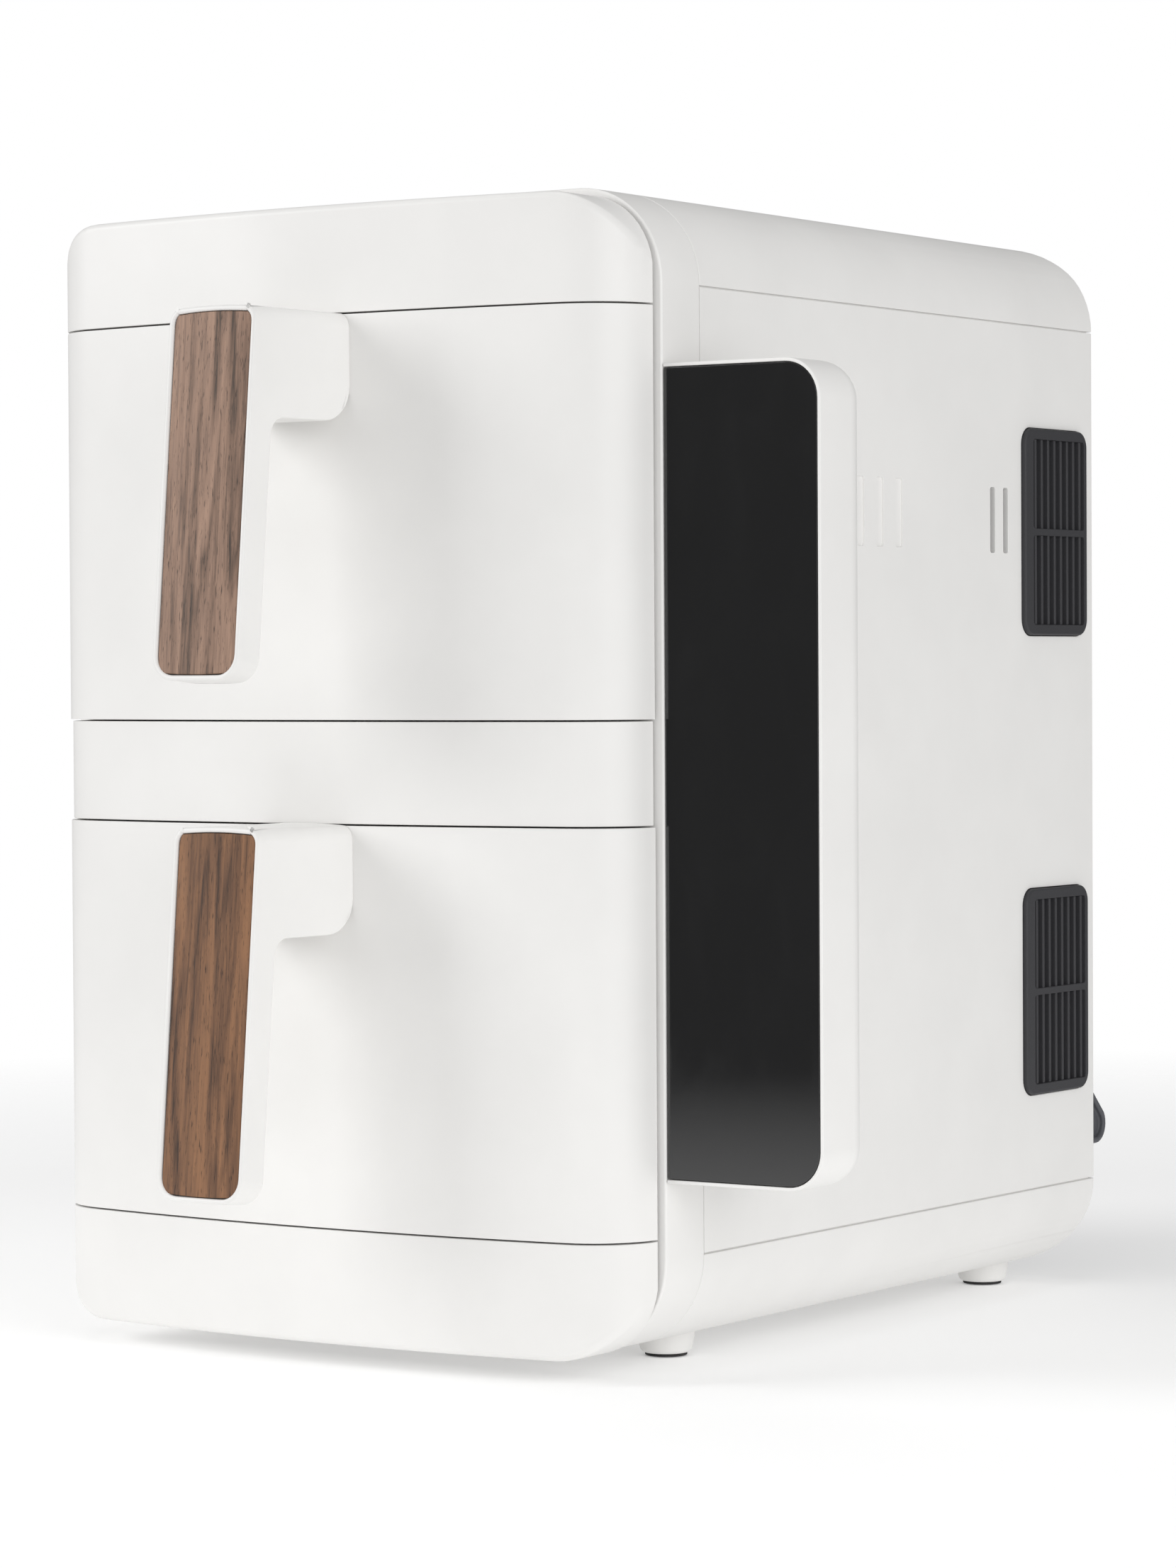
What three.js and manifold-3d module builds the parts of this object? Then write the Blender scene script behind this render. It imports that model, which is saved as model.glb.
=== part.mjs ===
// Two-drawer stacked air fryer: a ring-framed housing with a bowed front, two full-width drawers,
// one above the other, and a touch-panel pod on its right-hand side.
// Millimetres, +Z up. The design frame has x = 0 on the housing's middle plane, y = 0 on the groove
// between the bowed front and the ring frame, and z = 0 on the surface that the feet stand on.
import * as THREE from "three";
import { mergeVertices } from "three/addons/utils/BufferGeometryUtils.js";
import Module from "manifold-3d";

const wasm = await Module();
wasm.setup();

// ---- Driving dimensions ----

// Housing
const HOUSING_HALF_WIDTH = 126.2;
const HOUSING_TOP = 400;
const HOUSING_BACK = 304.2;
const GROUND_CLEARANCE = 8; // between the housing's underside and the surface it stands on
const HOUSING_CORNER = 33; // radius of the four long edges
const TOP_REAR_ROUND = [13, 15]; // half axes along y and z of the rounded top rear edge
const BOTTOM_REAR_ROUND = [14, 26];
const SHELL_WALL = 2.5;
const SIDE_SEAM_GAP = 0.8;

// Ring frame and the bowed front that it carries
const GROOVE = 1.2; // open groove between the bowed front and the ring frame
const RING_FRONT = 0.3;
const RING_DEPTH = 23.3;
const FRONT_PLATE = 3; // thickness of the frame's front plate, which has the drawer apertures
const FRONT_STEP = 2.5; // how far the bowed front's sides sit inside the ring's
const FRONT_DROP = 3; // and its top below the ring's
const FRONT_CORNER = 27; // corner radius seen from the front
const PLAN_CORNER = 26.5; // corner radius seen from above
const PLAN_CORNER_BACK = 2.15; // depth at which the plan's corner arcs start
const BOW_RISE = 7.11; // rise of the bow over its chord
const MIDDLE_RECESS = 0.8; // how far the middle band sits behind the drawer fronts

// Heights of the front's fixed bands; the two drawers share what is left
const LOWER_BAND = 39.7;
const MIDDLE_BAND = 35.4;
const UPPER_BAND = 37.3;
const DRAWER_GAP = 1; // gap between a drawer front and the bands above and below it

// Basket and crisper plate
const BASKET_CLEARANCE = 8; // from the basket's side to the chamber's
const BASKET_HEADROOM = 38.3; // how much lower the basket is than its drawer front
const BASKET_TO_GUARD = 12.5; // from the basket's back to the fan guard
const BASKET_WALL = 1.6;
const BASKET_CORNER = 16;
const BASKET_LIFT = 4; // the basket's underside above the drawer's bottom gap line
const BASKET_SLOTS = 7;
const BASKET_SLOT_WIDTH = 8;
const BASKET_SLOT_ENDS = [16, 14]; // the slots' ends from the plate and from the rim
const PLATE_THICKNESS = 1.6;
const PLATE_MARGIN = 1; // from the plate's edge to the basket's wall
const PLATE_STAND = 8; // height of the crisper plate's feet
const PLATE_FOOT = 8;
const PLATE_SLOTS = [5, 6]; // slots along x and rows along y
const PLATE_SLOT_SIZE = [16, 6];

// Cooking chamber
const INSULATION = 19.2; // from the housing's side to the chamber's
const REAR_COMPARTMENT = 71.2; // from the chamber's back to the housing's
const LINER_WALL = 1.2;
const LINER_CORNER = 10;
const LINER_MARGIN = 1; // the liner's floor above the drawer's bottom gap line
const RAIL = [3, 1.3]; // width and height of the slide rails on the liner's floor
const RAIL_INSET = 20; // from the basket's side
const APERTURE_CLEARANCE = 2;

// Fan, heater and motor at the back of each chamber
const SHAFT_RADIUS = 4;
const SHAFT_CLEARANCE = 0.3;
const HUB_WALL = 4;
const FAN_BLADES = 8;
const FAN_DEPTH = 14;
const FAN_DISC = 1.2;
const BLADE_THICKNESS = 1.2;
const HEATER_TUBE = 3.2;
const HEATER_LEG_OFFSET = 16;
const HEATER_LEG_END = 6; // how far the legs stand out behind the bulkhead
const HOLE_CLEARANCE = 1; // round the heater's legs; twice that round the shaft
const GUARD_THICKNESS = 1.2;
const GUARD_SLOTS = 9;
const GUARD_SLOT_WIDTH = 7;
const GUARD_SLOT_INSET = 14; // the slots' ends from the guard's middle and from its edge
const GUARD_POST = 2.2;
const GUARD_CLEARANCE = 3.45; // from the guard's edge to the chamber's roof
const HEATER_INSET = 3.5; // how far inside the guard's edge the heater's ring runs
const FAN_INSET = 12; // how far inside the heater's ring the fan ends
const REAR_CLEARANCE = 7; // from the fan to the chamber's back
const GUARD_TO_FAN = 6;
const BULKHEAD_THICKNESS = 2;
const MOTOR_RADIUS = 28;
const MOTOR_LENGTH = 26;
const MOTOR_LUG = [9, 12, 2.5]; // reach beyond the casing, height and thickness
const COOLING_FAN_RADIUS = 42;
const COOLING_BLADES = 7;
const COOLING_DEPTH = 10;
const COOLING_PITCH = 40; // the blades' pitch in degrees
const MOTOR_TO_COOLING = 4;
const SHAFT_ENDS = [2, 3]; // from the fan's front, and behind the cooling fan
const BOARD_SIZE = [96, 62]; // power board
const PILLAR = [3, 5]; // its pillars' radius, and their distance from its edges
const BOARD_STAND = 4; // from the heater's legs to the power board

// Side grilles and the panel's grooves and slots; rear is measured from the housing's back, and
// rise above a drawer's bottom gap line
const GRILLE_SIZE = [49.5, 78.5];
const GRILLE_CORNER = 6.5;
const GRILLE_REAR = 31.7;
const GRILLE_RISE = 68;
const GRILLE_PROUD = 1.8;
const GRILLE_THICKNESS = 4.6;
const GRILLE_BORDER = 4.5;
const GRILLE_RECESS = 1;
const GRILLE_COLUMNS = 8;
const GRILLE_SLOT = 2.6;
const SIDE_GROOVES = { rear: 174.9, pitch: 13.5, count: 3, size: [5.4, 24.7], rise: 72.9, depth: 0.9 };
const MARK_CORNER = 0.3; // of grooves and slots, as a share of their width
const SIDE_SLOTS = { rear: 78.6, pitch: 9.9, count: 2, size: [4, 24.3], rise: 71.8 };

// Control pod on the right-hand side
const POD_WIDTH = 61.2; // from the housing's side
const POD_BACK = 33;
const POD_BOTTOM = 67;
const POD_DROP = 60; // its top below the housing's
const POD_CORNER = 13.5; // its two outer corners, seen from the front
const POD_BACK_CORNER = 14; // its outer back corner, seen from above
const POD_RIM = 1.5;
const GLASS_THICKNESS = 2;
const GLASS_LEDGE = 2.5;
const BOARD_THICKNESS = 1.6;
const BOARD_MARGIN = 1.5; // from the touch board to the pod's wall
const BOARD_DEPTH = 3; // from the glass seat to the touch board

// Drawer handles
const GRIP_HALF_WIDTH = 18.2;
const GRIP_THICKNESS = 12;
const GRIP_TOP_Y = -79.7; // front of the grip at its top end
const GRIP_LEAN = 11.7; // how much further forward its bottom end stands
const GRIP_RISE = 0.6; // its top end above the drawer's top gap line
const GRIP_SHORT = 13; // how much shorter it is than the drawer front
const GRIP_CORNER = 7;
const ARM_HALF_WIDTH = 20.6; // at the drawer front
const ARM_HEIGHT = 37.5;
const ARM_CORNER = 12;
const INLAY_RIM = 1.8;
const INLAY_THICKNESS = 3;

// Back panel, spacers, cord bush and feet
const VENT_SLOTS = 6;
const VENT_SIZE = [84, 4.2];
const VENT_PITCH = 9;
const SPACER_HALF_WIDTH = 7;
const SPACER_INSET = 13.2; // its middle from the housing's side
const SPACER_DEPTH = 22.3;
const SPACER_FOOT = 51.5; // height of its underside
const SPACER_HEIGHT = 32.5;
const SPACER_NOSE = 0.3; // its nose's radius as a share of its depth
const BUSH_PLACE = [52, 66]; // x and z of the mains cord's bush
const BUSH_BORE = 3.7;
const BUSH_NECK = 6.5;
const BUSH_FLANGE = 3;
const BUSH_TIP_WALL = 1.2;
const BUSH_LENGTH = 20;
const FOOT_INSET = 37.2; // its middle from the housing's side
const FOOT_FRONT = 57;
const FOOT_REAR = 22.2; // the rear feet's middles from the housing's back
const FOOT_RADII = [10.2, 9.2];
const PAD_RADIUS = 7.4;
const PAD_THICKNESS = 1.2;

// Fits
const GAP = 0.3; // between pieces that touch
const OVERRUN = 5; // how far a cutting solid runs past what it cuts
const ARC_STEPS = 3; // half the number of facets in a large arc
const SMALL_ARC_STEPS = 2;

// ---- Values worked out from them ----

const HALF_PI = Math.PI / 2;
const TOP_SEAM = HOUSING_TOP - HOUSING_CORNER; // between the top cover and the side panels
const BASE_SEAM = GROUND_CLEARANCE + HOUSING_CORNER;
const FRONT_HALF_WIDTH = HOUSING_HALF_WIDTH - FRONT_STEP;
const FRONT_TOP = HOUSING_TOP - FRONT_DROP;
const RING_BACK = RING_FRONT + RING_DEPTH;
const FRONT_BACK = RING_FRONT - GROOVE; // back edge of the bowed front's shells
const COVER_FRONT = RING_BACK + GAP;
const PLATE_BACK = RING_FRONT + FRONT_PLATE;
const INNER_INSET = SHELL_WALL + GAP;

const FIXED_BANDS = LOWER_BAND + MIDDLE_BAND + UPPER_BAND;
const DRAWER_HEIGHT = (FRONT_TOP - GROUND_CLEARANCE - FIXED_BANDS) / 2;
const LOWER_BASE = GROUND_CLEARANCE + LOWER_BAND;
const DRAWER_BASES = { lower: LOWER_BASE, upper: LOWER_BASE + DRAWER_HEIGHT + MIDDLE_BAND };

const LINER_HALF_WIDTH = HOUSING_HALF_WIDTH - INSULATION;
const LINER_BACK = HOUSING_BACK - REAR_COMPARTMENT;
const CHAMBER_HEIGHT = DRAWER_HEIGHT - 2 * LINER_MARGIN;
const AXIS_HEIGHT = LINER_MARGIN + CHAMBER_HEIGHT / 2; // of the fan above the bottom gap line
const LINER_FLOOR = LINER_MARGIN + LINER_WALL;
const GUARD_RADIUS = CHAMBER_HEIGHT / 2 - LINER_WALL - GUARD_CLEARANCE;
const HEATER_RADIUS = GUARD_RADIUS - HEATER_INSET;
const FAN_RADIUS = HEATER_RADIUS - FAN_INSET;
const BULKHEAD_FRONT = LINER_BACK + GAP;
const BULKHEAD_BACK = BULKHEAD_FRONT + BULKHEAD_THICKNESS;
const MOTOR_FRONT = BULKHEAD_BACK + GAP;
const MOTOR_BACK = MOTOR_FRONT + MOTOR_LENGTH;
const COOLING_FRONT = MOTOR_BACK + MOTOR_TO_COOLING;
const FAN_BACK = LINER_BACK - LINER_WALL - REAR_CLEARANCE;
const FAN_FRONT = FAN_BACK - FAN_DEPTH;
const GUARD_BACK = FAN_FRONT - GUARD_TO_FAN;
const HEATER_Y = FAN_FRONT + FAN_DEPTH / 2;
const SHAFT_FRONT = FAN_FRONT + SHAFT_ENDS[0];
const SHAFT_BACK = COOLING_FRONT + COOLING_DEPTH + SHAFT_ENDS[1];
const SHAFT_BORE = SHAFT_RADIUS + SHAFT_CLEARANCE;

const BASKET_HALF_WIDTH = LINER_HALF_WIDTH - BASKET_CLEARANCE;
const BASKET_FRONT = FRONT_BACK + GAP;
const BASKET_BACK = GUARD_BACK - GUARD_THICKNESS - BASKET_TO_GUARD;
const BASKET_HEIGHT = DRAWER_HEIGHT - BASKET_HEADROOM;

const FRONT_APEX = bowPlan(0).apex;
const GRIP_LENGTH = DRAWER_HEIGHT - GRIP_SHORT;
const ARM_BACK = FRONT_APEX - GAP;
const LEAN_ANGLE = Math.asin(GRIP_LEAN / GRIP_LENGTH);
const POD_INNER_X = HOUSING_HALF_WIDTH + GAP;
const POD_OUTER_X = HOUSING_HALF_WIDTH + POD_WIDTH;
const POD_TOP = HOUSING_TOP - POD_DROP;
const GRILLE_Y = HOUSING_BACK - GRILLE_REAR;
const SPACER_X = HOUSING_HALF_WIDTH - SPACER_INSET;
const FOOT_X = HOUSING_HALF_WIDTH - FOOT_INSET;
const FOOT_Y = [FOOT_FRONT, HOUSING_BACK - FOOT_REAR];

// ---- Finishes ----

function finish(color, roughness, metalness = 0) {
  return new THREE.MeshStandardMaterial({ color, roughness, metalness });
}

const white = finish(0xece9e6, 0.5);
const charcoal = finish(0x2c2c30, 0.6);
const blackGlass = finish(0x1c1c1e, 0.08);
const walnut = finish(0x78553f, 0.55);
const darkPlastic = finish(0x4a4a50, 0.55);
const rubber = finish(0x1e1e1e, 0.9);
const coatedSteel = finish(0x262627, 0.45, 0.4);
const bareSteel = finish(0xb9bbbd, 0.35, 0.9);
const darkSteel = finish(0x55565a, 0.4, 0.8);
const circuitBoard = finish(0x1f5a3a, 0.6);

// ---- Solids ----

// A closed three.js geometry as a solid that can be joined and cut.
function solid(geometry) {
  geometry.deleteAttribute("normal");
  geometry.deleteAttribute("uv");
  const merged = mergeVertices(geometry, 1e-4);
  const vertProperties = new Float32Array(merged.attributes.position.array);
  const triVerts = new Uint32Array(merged.index.array);
  return new wasm.Manifold(new wasm.Mesh({ numProp: 3, vertProperties, triVerts }));
}

// A solid as a three.js geometry.
function geometryOf(body) {
  const mesh = body.getMesh();
  const geometry = new THREE.BufferGeometry();
  geometry.setAttribute("position", new THREE.BufferAttribute(mesh.vertProperties, 3));
  geometry.setIndex(new THREE.BufferAttribute(mesh.triVerts, 1));
  geometry.computeVertexNormals();
  return geometry;
}

function joined(first, ...others) {
  return others.reduce((whole, other) => whole.add(other), first);
}

function cut(body, ...tools) {
  return tools.reduce((left, tool) => left.subtract(tool), body);
}

function common(first, ...others) {
  return others.reduce((shared, other) => shared.intersect(other), first);
}

function extruded(shape, depth, arcSteps = ARC_STEPS) {
  return new THREE.ExtrudeGeometry(shape, { depth, bevelEnabled: false, curveSegments: arcSteps });
}

// A shape drawn in x and y, standing from z = low to z = high.
function alongZ(shape, low, high, arcSteps) {
  return solid(extruded(shape, high - low, arcSteps).translate(0, 0, low));
}

// A shape drawn in x and z, running from y = front to y = back.
function alongY(shape, front, back, arcSteps) {
  const geometry = extruded(shape, back - front, arcSteps).rotateX(HALF_PI);
  return solid(geometry.translate(0, back, 0));
}

// A shape drawn in y and z, running from x = left to x = right.
function alongX(shape, left, right, arcSteps) {
  const turn = new THREE.Matrix4().makeBasis(
    new THREE.Vector3(0, 1, 0),
    new THREE.Vector3(0, 0, 1),
    new THREE.Vector3(1, 0, 0),
  );
  return solid(extruded(shape, right - left, arcSteps).applyMatrix4(turn).translate(left, 0, 0));
}

function box(x, y, z) {
  const geometry = new THREE.BoxGeometry(x[1] - x[0], y[1] - y[0], z[1] - z[0]);
  return solid(geometry.translate((x[0] + x[1]) / 2, (y[0] + y[1]) / 2, (z[0] + z[1]) / 2));
}

// A round bar about the y axis through (x, z).
function barY(radius, x, z, front, back, sides = 16) {
  const geometry = new THREE.CylinderGeometry(radius, radius, back - front, sides);
  return solid(geometry.translate(x, (front + back) / 2, z));
}

// A profile of [radius, height] points, turned about the z axis through (x, y).
function turnedZ(points, x, y, sides = 16) {
  const profile = points.map(([radius, height]) => new THREE.Vector2(radius, height));
  return solid(new THREE.LatheGeometry(profile, sides).rotateX(HALF_PI).translate(x, y, 0));
}

// A profile of [radius, depth] points, turned about the y axis through (x, z).
function turnedY(points, x, z, sides = 16) {
  const profile = points.map(([radius, depth]) => new THREE.Vector2(radius, depth));
  return solid(new THREE.LatheGeometry(profile, sides).translate(x, 0, z));
}

// ---- Outlines ----

// A rectangle with rounded corners, by its edges.
function roundedRect(left, right, low, high, radius) {
  const shape = new THREE.Shape();
  shape.moveTo(left + radius, low);
  shape.absarc(right - radius, low + radius, radius, -HALF_PI, 0);
  shape.absarc(right - radius, high - radius, radius, 0, HALF_PI);
  shape.absarc(left + radius, high - radius, radius, HALF_PI, Math.PI);
  shape.absarc(left + radius, low + radius, radius, Math.PI, Math.PI + HALF_PI);
  return shape;
}

// The same, by its centre and size.
function roundedPlate([x, y], [width, height], radius) {
  return roundedRect(x - width / 2, x + width / 2, y - height / 2, y + height / 2, radius);
}

// The bowed front's plan: corner arcs that run tangent into one long shallow arc.
function bowPlan(inset) {
  const cornerX = FRONT_HALF_WIDTH - PLAN_CORNER;
  const chordRadius = (cornerX ** 2 + BOW_RISE ** 2) / (2 * BOW_RISE);
  const halfAngle = Math.asin(cornerX / chordRadius);
  const endX = cornerX + PLAN_CORNER * Math.sin(halfAngle);
  const endY = PLAN_CORNER_BACK - PLAN_CORNER * Math.cos(halfAngle);
  const radius = endX / Math.sin(halfAngle);
  const centreY = endY + radius * Math.cos(halfAngle);
  return {
    cornerX,
    halfAngle,
    centreY,
    corner: PLAN_CORNER - inset,
    radius: radius - inset,
    apex: centreY - radius + inset,
  };
}

function frontPlan(inset) {
  const plan = bowPlan(inset);
  const side = plan.cornerX + plan.corner;
  const back = PLAN_CORNER_BACK + 2 * OVERRUN;
  const ahead = 1.5 * Math.PI;
  const [left, right] = [ahead - plan.halfAngle, ahead + plan.halfAngle];
  const shape = new THREE.Shape();
  shape.moveTo(-side, back);
  shape.lineTo(-side, PLAN_CORNER_BACK);
  shape.absarc(-plan.cornerX, PLAN_CORNER_BACK, plan.corner, Math.PI, left);
  shape.absarc(0, plan.centreY, plan.radius, left, right);
  shape.absarc(plan.cornerX, PLAN_CORNER_BACK, plan.corner, right, 2 * Math.PI);
  shape.lineTo(side, back);
  return shape;
}

// The housing seen from the front, moved in by inset.
function housingFace(inset) {
  const side = HOUSING_HALF_WIDTH - inset;
  const low = GROUND_CLEARANCE + inset;
  return roundedRect(-side, side, low, HOUSING_TOP - inset, HOUSING_CORNER - inset);
}

// The housing seen from the side, moved in by inset, with its two rounded rear edges.
function housingSide(inset, front) {
  const back = HOUSING_BACK - inset;
  const low = GROUND_CLEARANCE + inset;
  const high = HOUSING_TOP - inset;
  const [topY, topZ] = TOP_REAR_ROUND.map((axis) => axis - inset);
  const [lowY, lowZ] = BOTTOM_REAR_ROUND.map((axis) => axis - inset);
  const shape = new THREE.Shape();
  shape.moveTo(front, low);
  shape.lineTo(back - lowY, low);
  shape.absellipse(back - lowY, low + lowZ, lowY, lowZ, -HALF_PI, 0);
  shape.absellipse(back - topY, high - topZ, topY, topZ, 0, HALF_PI);
  shape.lineTo(front, high);
  return shape;
}

// The whole rear housing as one block, moved in by inset.
function housingBlock(inset, front) {
  const side = HOUSING_HALF_WIDTH + OVERRUN;
  return common(
    alongY(housingFace(inset), front, HOUSING_BACK + OVERRUN),
    alongX(housingSide(inset, front), -side, side),
  );
}

// The whole bowed front as one block that ends at y = back, moved in by inset.
function frontBlock(inset, back) {
  const side = FRONT_HALF_WIDTH - inset;
  const low = GROUND_CLEARANCE + inset;
  const face = roundedRect(-side, side, low, FRONT_TOP - inset, FRONT_CORNER - inset);
  return common(
    alongZ(frontPlan(inset), 0, HOUSING_TOP),
    alongY(face, FRONT_APEX - OVERRUN, back),
  );
}

// Everything between two heights.
function slab(low, high) {
  const reach = HOUSING_BACK + POD_OUTER_X;
  return box([-reach, reach], [-reach, reach], [low, high]);
}

// ---- Bowed front ----

// One hollow band of the bowed front, open at the back.
function frontBand(low, high, inset = 0) {
  const outer = common(frontBlock(inset, FRONT_BACK), slab(low, high));
  const innerInset = inset + SHELL_WALL;
  const inner = common(
    frontBlock(innerInset, FRONT_BACK + OVERRUN),
    slab(low + SHELL_WALL, high - SHELL_WALL),
  );
  return cut(outer, inner);
}

function upperFascia() {
  return frontBand(DRAWER_BASES.upper + DRAWER_HEIGHT + DRAWER_GAP / 2, FRONT_TOP + OVERRUN);
}

function middleFascia() {
  const low = DRAWER_BASES.lower + DRAWER_HEIGHT + DRAWER_GAP / 2;
  return frontBand(low, DRAWER_BASES.upper - DRAWER_GAP / 2, MIDDLE_RECESS);
}

function lowerFascia() {
  return frontBand(0, DRAWER_BASES.lower - DRAWER_GAP / 2);
}

function drawerFront(base) {
  return frontBand(base + DRAWER_GAP / 2, base + DRAWER_HEIGHT - DRAWER_GAP / 2);
}

// The plate that closes a drawer front's back and carries the basket.
function drawerBackPlate(base) {
  const margin = DRAWER_GAP / 2 + SHELL_WALL + GAP;
  const depth = box(
    [-FRONT_HALF_WIDTH, FRONT_HALF_WIDTH],
    [FRONT_BACK - FRONT_PLATE, FRONT_BACK],
    [base + margin, base + DRAWER_HEIGHT - margin],
  );
  return common(frontBlock(INNER_INSET, FRONT_BACK), depth);
}

// ---- Ring frame, covers and panels ----

function apertureOpening(base) {
  const side = BASKET_HALF_WIDTH + APERTURE_CLEARANCE;
  const low = base + BASKET_LIFT - APERTURE_CLEARANCE;
  const high = base + BASKET_LIFT + BASKET_HEIGHT + APERTURE_CLEARANCE;
  const face = roundedRect(-side, side, low, high, APERTURE_CLEARANCE);
  return alongY(face, RING_FRONT - OVERRUN, PLATE_BACK + OVERRUN, 1);
}

function frontFrame() {
  const outer = alongY(housingFace(0), RING_FRONT, RING_BACK);
  const hollow = alongY(housingFace(SHELL_WALL), PLATE_BACK, RING_BACK + OVERRUN);
  return cut(outer, hollow, ...Object.values(DRAWER_BASES).map(apertureOpening));
}

function coverShell(low, high) {
  const outer = common(housingBlock(0, COVER_FRONT), slab(low, high));
  return cut(outer, housingBlock(SHELL_WALL, COVER_FRONT - OVERRUN));
}

function topCover() {
  return coverShell(TOP_SEAM + SIDE_SEAM_GAP / 2, HOUSING_TOP + OVERRUN);
}

function baseCover() {
  return coverShell(0, BASE_SEAM - SIDE_SEAM_GAP / 2);
}

function onSide(side, inner, outer) {
  return side > 0 ? [inner, outer] : [-outer, -inner];
}

function sidePanel(side) {
  const [left, right] = onSide(side, HOUSING_HALF_WIDTH - SHELL_WALL, HOUSING_HALF_WIDTH);
  const low = BASE_SEAM + SIDE_SEAM_GAP / 2;
  const high = TOP_SEAM - SIDE_SEAM_GAP / 2;
  const plate = box([left, right], [COVER_FRONT, HOUSING_BACK], [low, high]);
  const windows = Object.values(DRAWER_BASES).map((base) =>
    alongX(
      roundedPlate([GRILLE_Y, base + GRILLE_RISE], GRILLE_SIZE, GRILLE_CORNER),
      left - OVERRUN,
      right + OVERRUN,
      SMALL_ARC_STEPS,
    ),
  );
  const face = HOUSING_HALF_WIDTH - SIDE_GROOVES.depth;
  const grooves = panelMarks(SIDE_GROOVES, ...onSide(side, face, HOUSING_HALF_WIDTH + OVERRUN));
  const slots = panelMarks(SIDE_SLOTS, left - OVERRUN, right + OVERRUN);
  return cut(plate, ...windows, ...grooves, ...slots);
}

// Upright round-cornered bars in a row, which cut grooves or slots.
function panelMarks({ rear, pitch, count, size, rise }, left, right) {
  const bars = [];
  for (let i = 0; i < count; i += 1) {
    const place = [HOUSING_BACK - rear + i * pitch, DRAWER_BASES.upper + rise];
    const shape = roundedPlate(place, size, size[0] * MARK_CORNER);
    bars.push(alongX(shape, left, right, 1));
  }
  return bars;
}

// A grille: a plate with a raised border and two rows of upright slots.
function sideGrille(side, height) {
  const size = GRILLE_SIZE.map((length) => length - 2 * GAP);
  const inner = HOUSING_HALF_WIDTH + GRILLE_PROUD - GRILLE_THICKNESS;
  const outer = HOUSING_HALF_WIDTH + GRILLE_PROUD;
  const centre = [GRILLE_Y, height];
  const outline = roundedPlate(centre, size, GRILLE_CORNER - GAP);
  const plate = alongX(outline, ...onSide(side, inner, outer), SMALL_ARC_STEPS);
  const field = size.map((length) => length - 2 * GRILLE_BORDER);
  const recess = alongX(
    roundedPlate(centre, field, GRILLE_CORNER - GAP - GRILLE_BORDER / 2),
    ...onSide(side, outer - GRILLE_RECESS, outer + OVERRUN),
    1,
  );
  const slots = [];
  const slotHeight = field[1] / 2 - GRILLE_BORDER;
  for (let column = 0; column < GRILLE_COLUMNS; column += 1) {
    const y = GRILLE_Y + ((column + 0.5) / GRILLE_COLUMNS - 0.5) * field[0];
    for (const row of [-1, 1]) {
      const middle = height + row * (field[1] / 4 + 0.5);
      slots.push(
        box(
          onSide(side, inner - OVERRUN, outer + OVERRUN),
          [y - GRILLE_SLOT / 2, y + GRILLE_SLOT / 2],
          [middle - slotHeight / 2, middle + slotHeight / 2],
        ),
      );
    }
  }
  return cut(plate, recess, ...slots);
}

// ---- Back panel, spacers, cord bush and feet ----

function backPanel() {
  const side = HOUSING_HALF_WIDTH - INNER_INSET;
  const low = BASE_SEAM + SIDE_SEAM_GAP / 2;
  const high = TOP_SEAM - SIDE_SEAM_GAP / 2;
  const front = HOUSING_BACK - SHELL_WALL;
  const plate = box([-side, side], [front, HOUSING_BACK], [low, high]);
  const vents = [];
  for (const base of Object.values(DRAWER_BASES)) {
    for (let i = 0; i < VENT_SLOTS; i += 1) {
      const z = base + AXIS_HEIGHT + (i - (VENT_SLOTS - 1) / 2) * VENT_PITCH;
      const width = [-VENT_SIZE[0] / 2, VENT_SIZE[0] / 2];
      const height = [z - VENT_SIZE[1] / 2, z + VENT_SIZE[1] / 2];
      vents.push(box(width, [front - OVERRUN, HOUSING_BACK + OVERRUN], height));
    }
  }
  const [bushX, bushZ] = BUSH_PLACE;
  const bushHole = barY(BUSH_NECK + GAP, bushX, bushZ, front - OVERRUN, HOUSING_BACK + OVERRUN);
  return cut(plate, ...vents, bushHole);
}

// A wall spacer: a leaf-shaped block with a sloping top and a round nose.
function rearSpacer(side) {
  const start = HOUSING_BACK + GAP;
  const nose = SPACER_DEPTH * SPACER_NOSE;
  const noseY = HOUSING_BACK + SPACER_DEPTH - nose;
  const shape = new THREE.Shape();
  shape.moveTo(start, SPACER_FOOT);
  shape.lineTo(noseY, SPACER_FOOT);
  shape.absarc(noseY, SPACER_FOOT + nose, nose, -HALF_PI, Math.PI / 5);
  shape.lineTo(start, SPACER_FOOT + SPACER_HEIGHT);
  return alongX(shape, side * SPACER_X - SPACER_HALF_WIDTH, side * SPACER_X + SPACER_HALF_WIDTH);
}

// The bush in the back panel that the mains cord comes out of.
function cordBush() {
  const flange = BUSH_NECK + BUSH_FLANGE;
  const front = HOUSING_BACK - SHELL_WALL - BUSH_FLANGE;
  const tip = HOUSING_BACK + BUSH_LENGTH;
  const profile = [
    [BUSH_BORE, front],
    [BUSH_NECK, front],
    [BUSH_NECK, HOUSING_BACK + GAP],
    [flange, HOUSING_BACK + GAP],
    [flange, HOUSING_BACK + BUSH_FLANGE],
    [BUSH_NECK, HOUSING_BACK + BUSH_FLANGE + 1],
    [BUSH_BORE + BUSH_TIP_WALL, tip],
    [BUSH_BORE, tip],
    [BUSH_BORE, front],
  ];
  return turnedY(profile, ...BUSH_PLACE);
}

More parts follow.
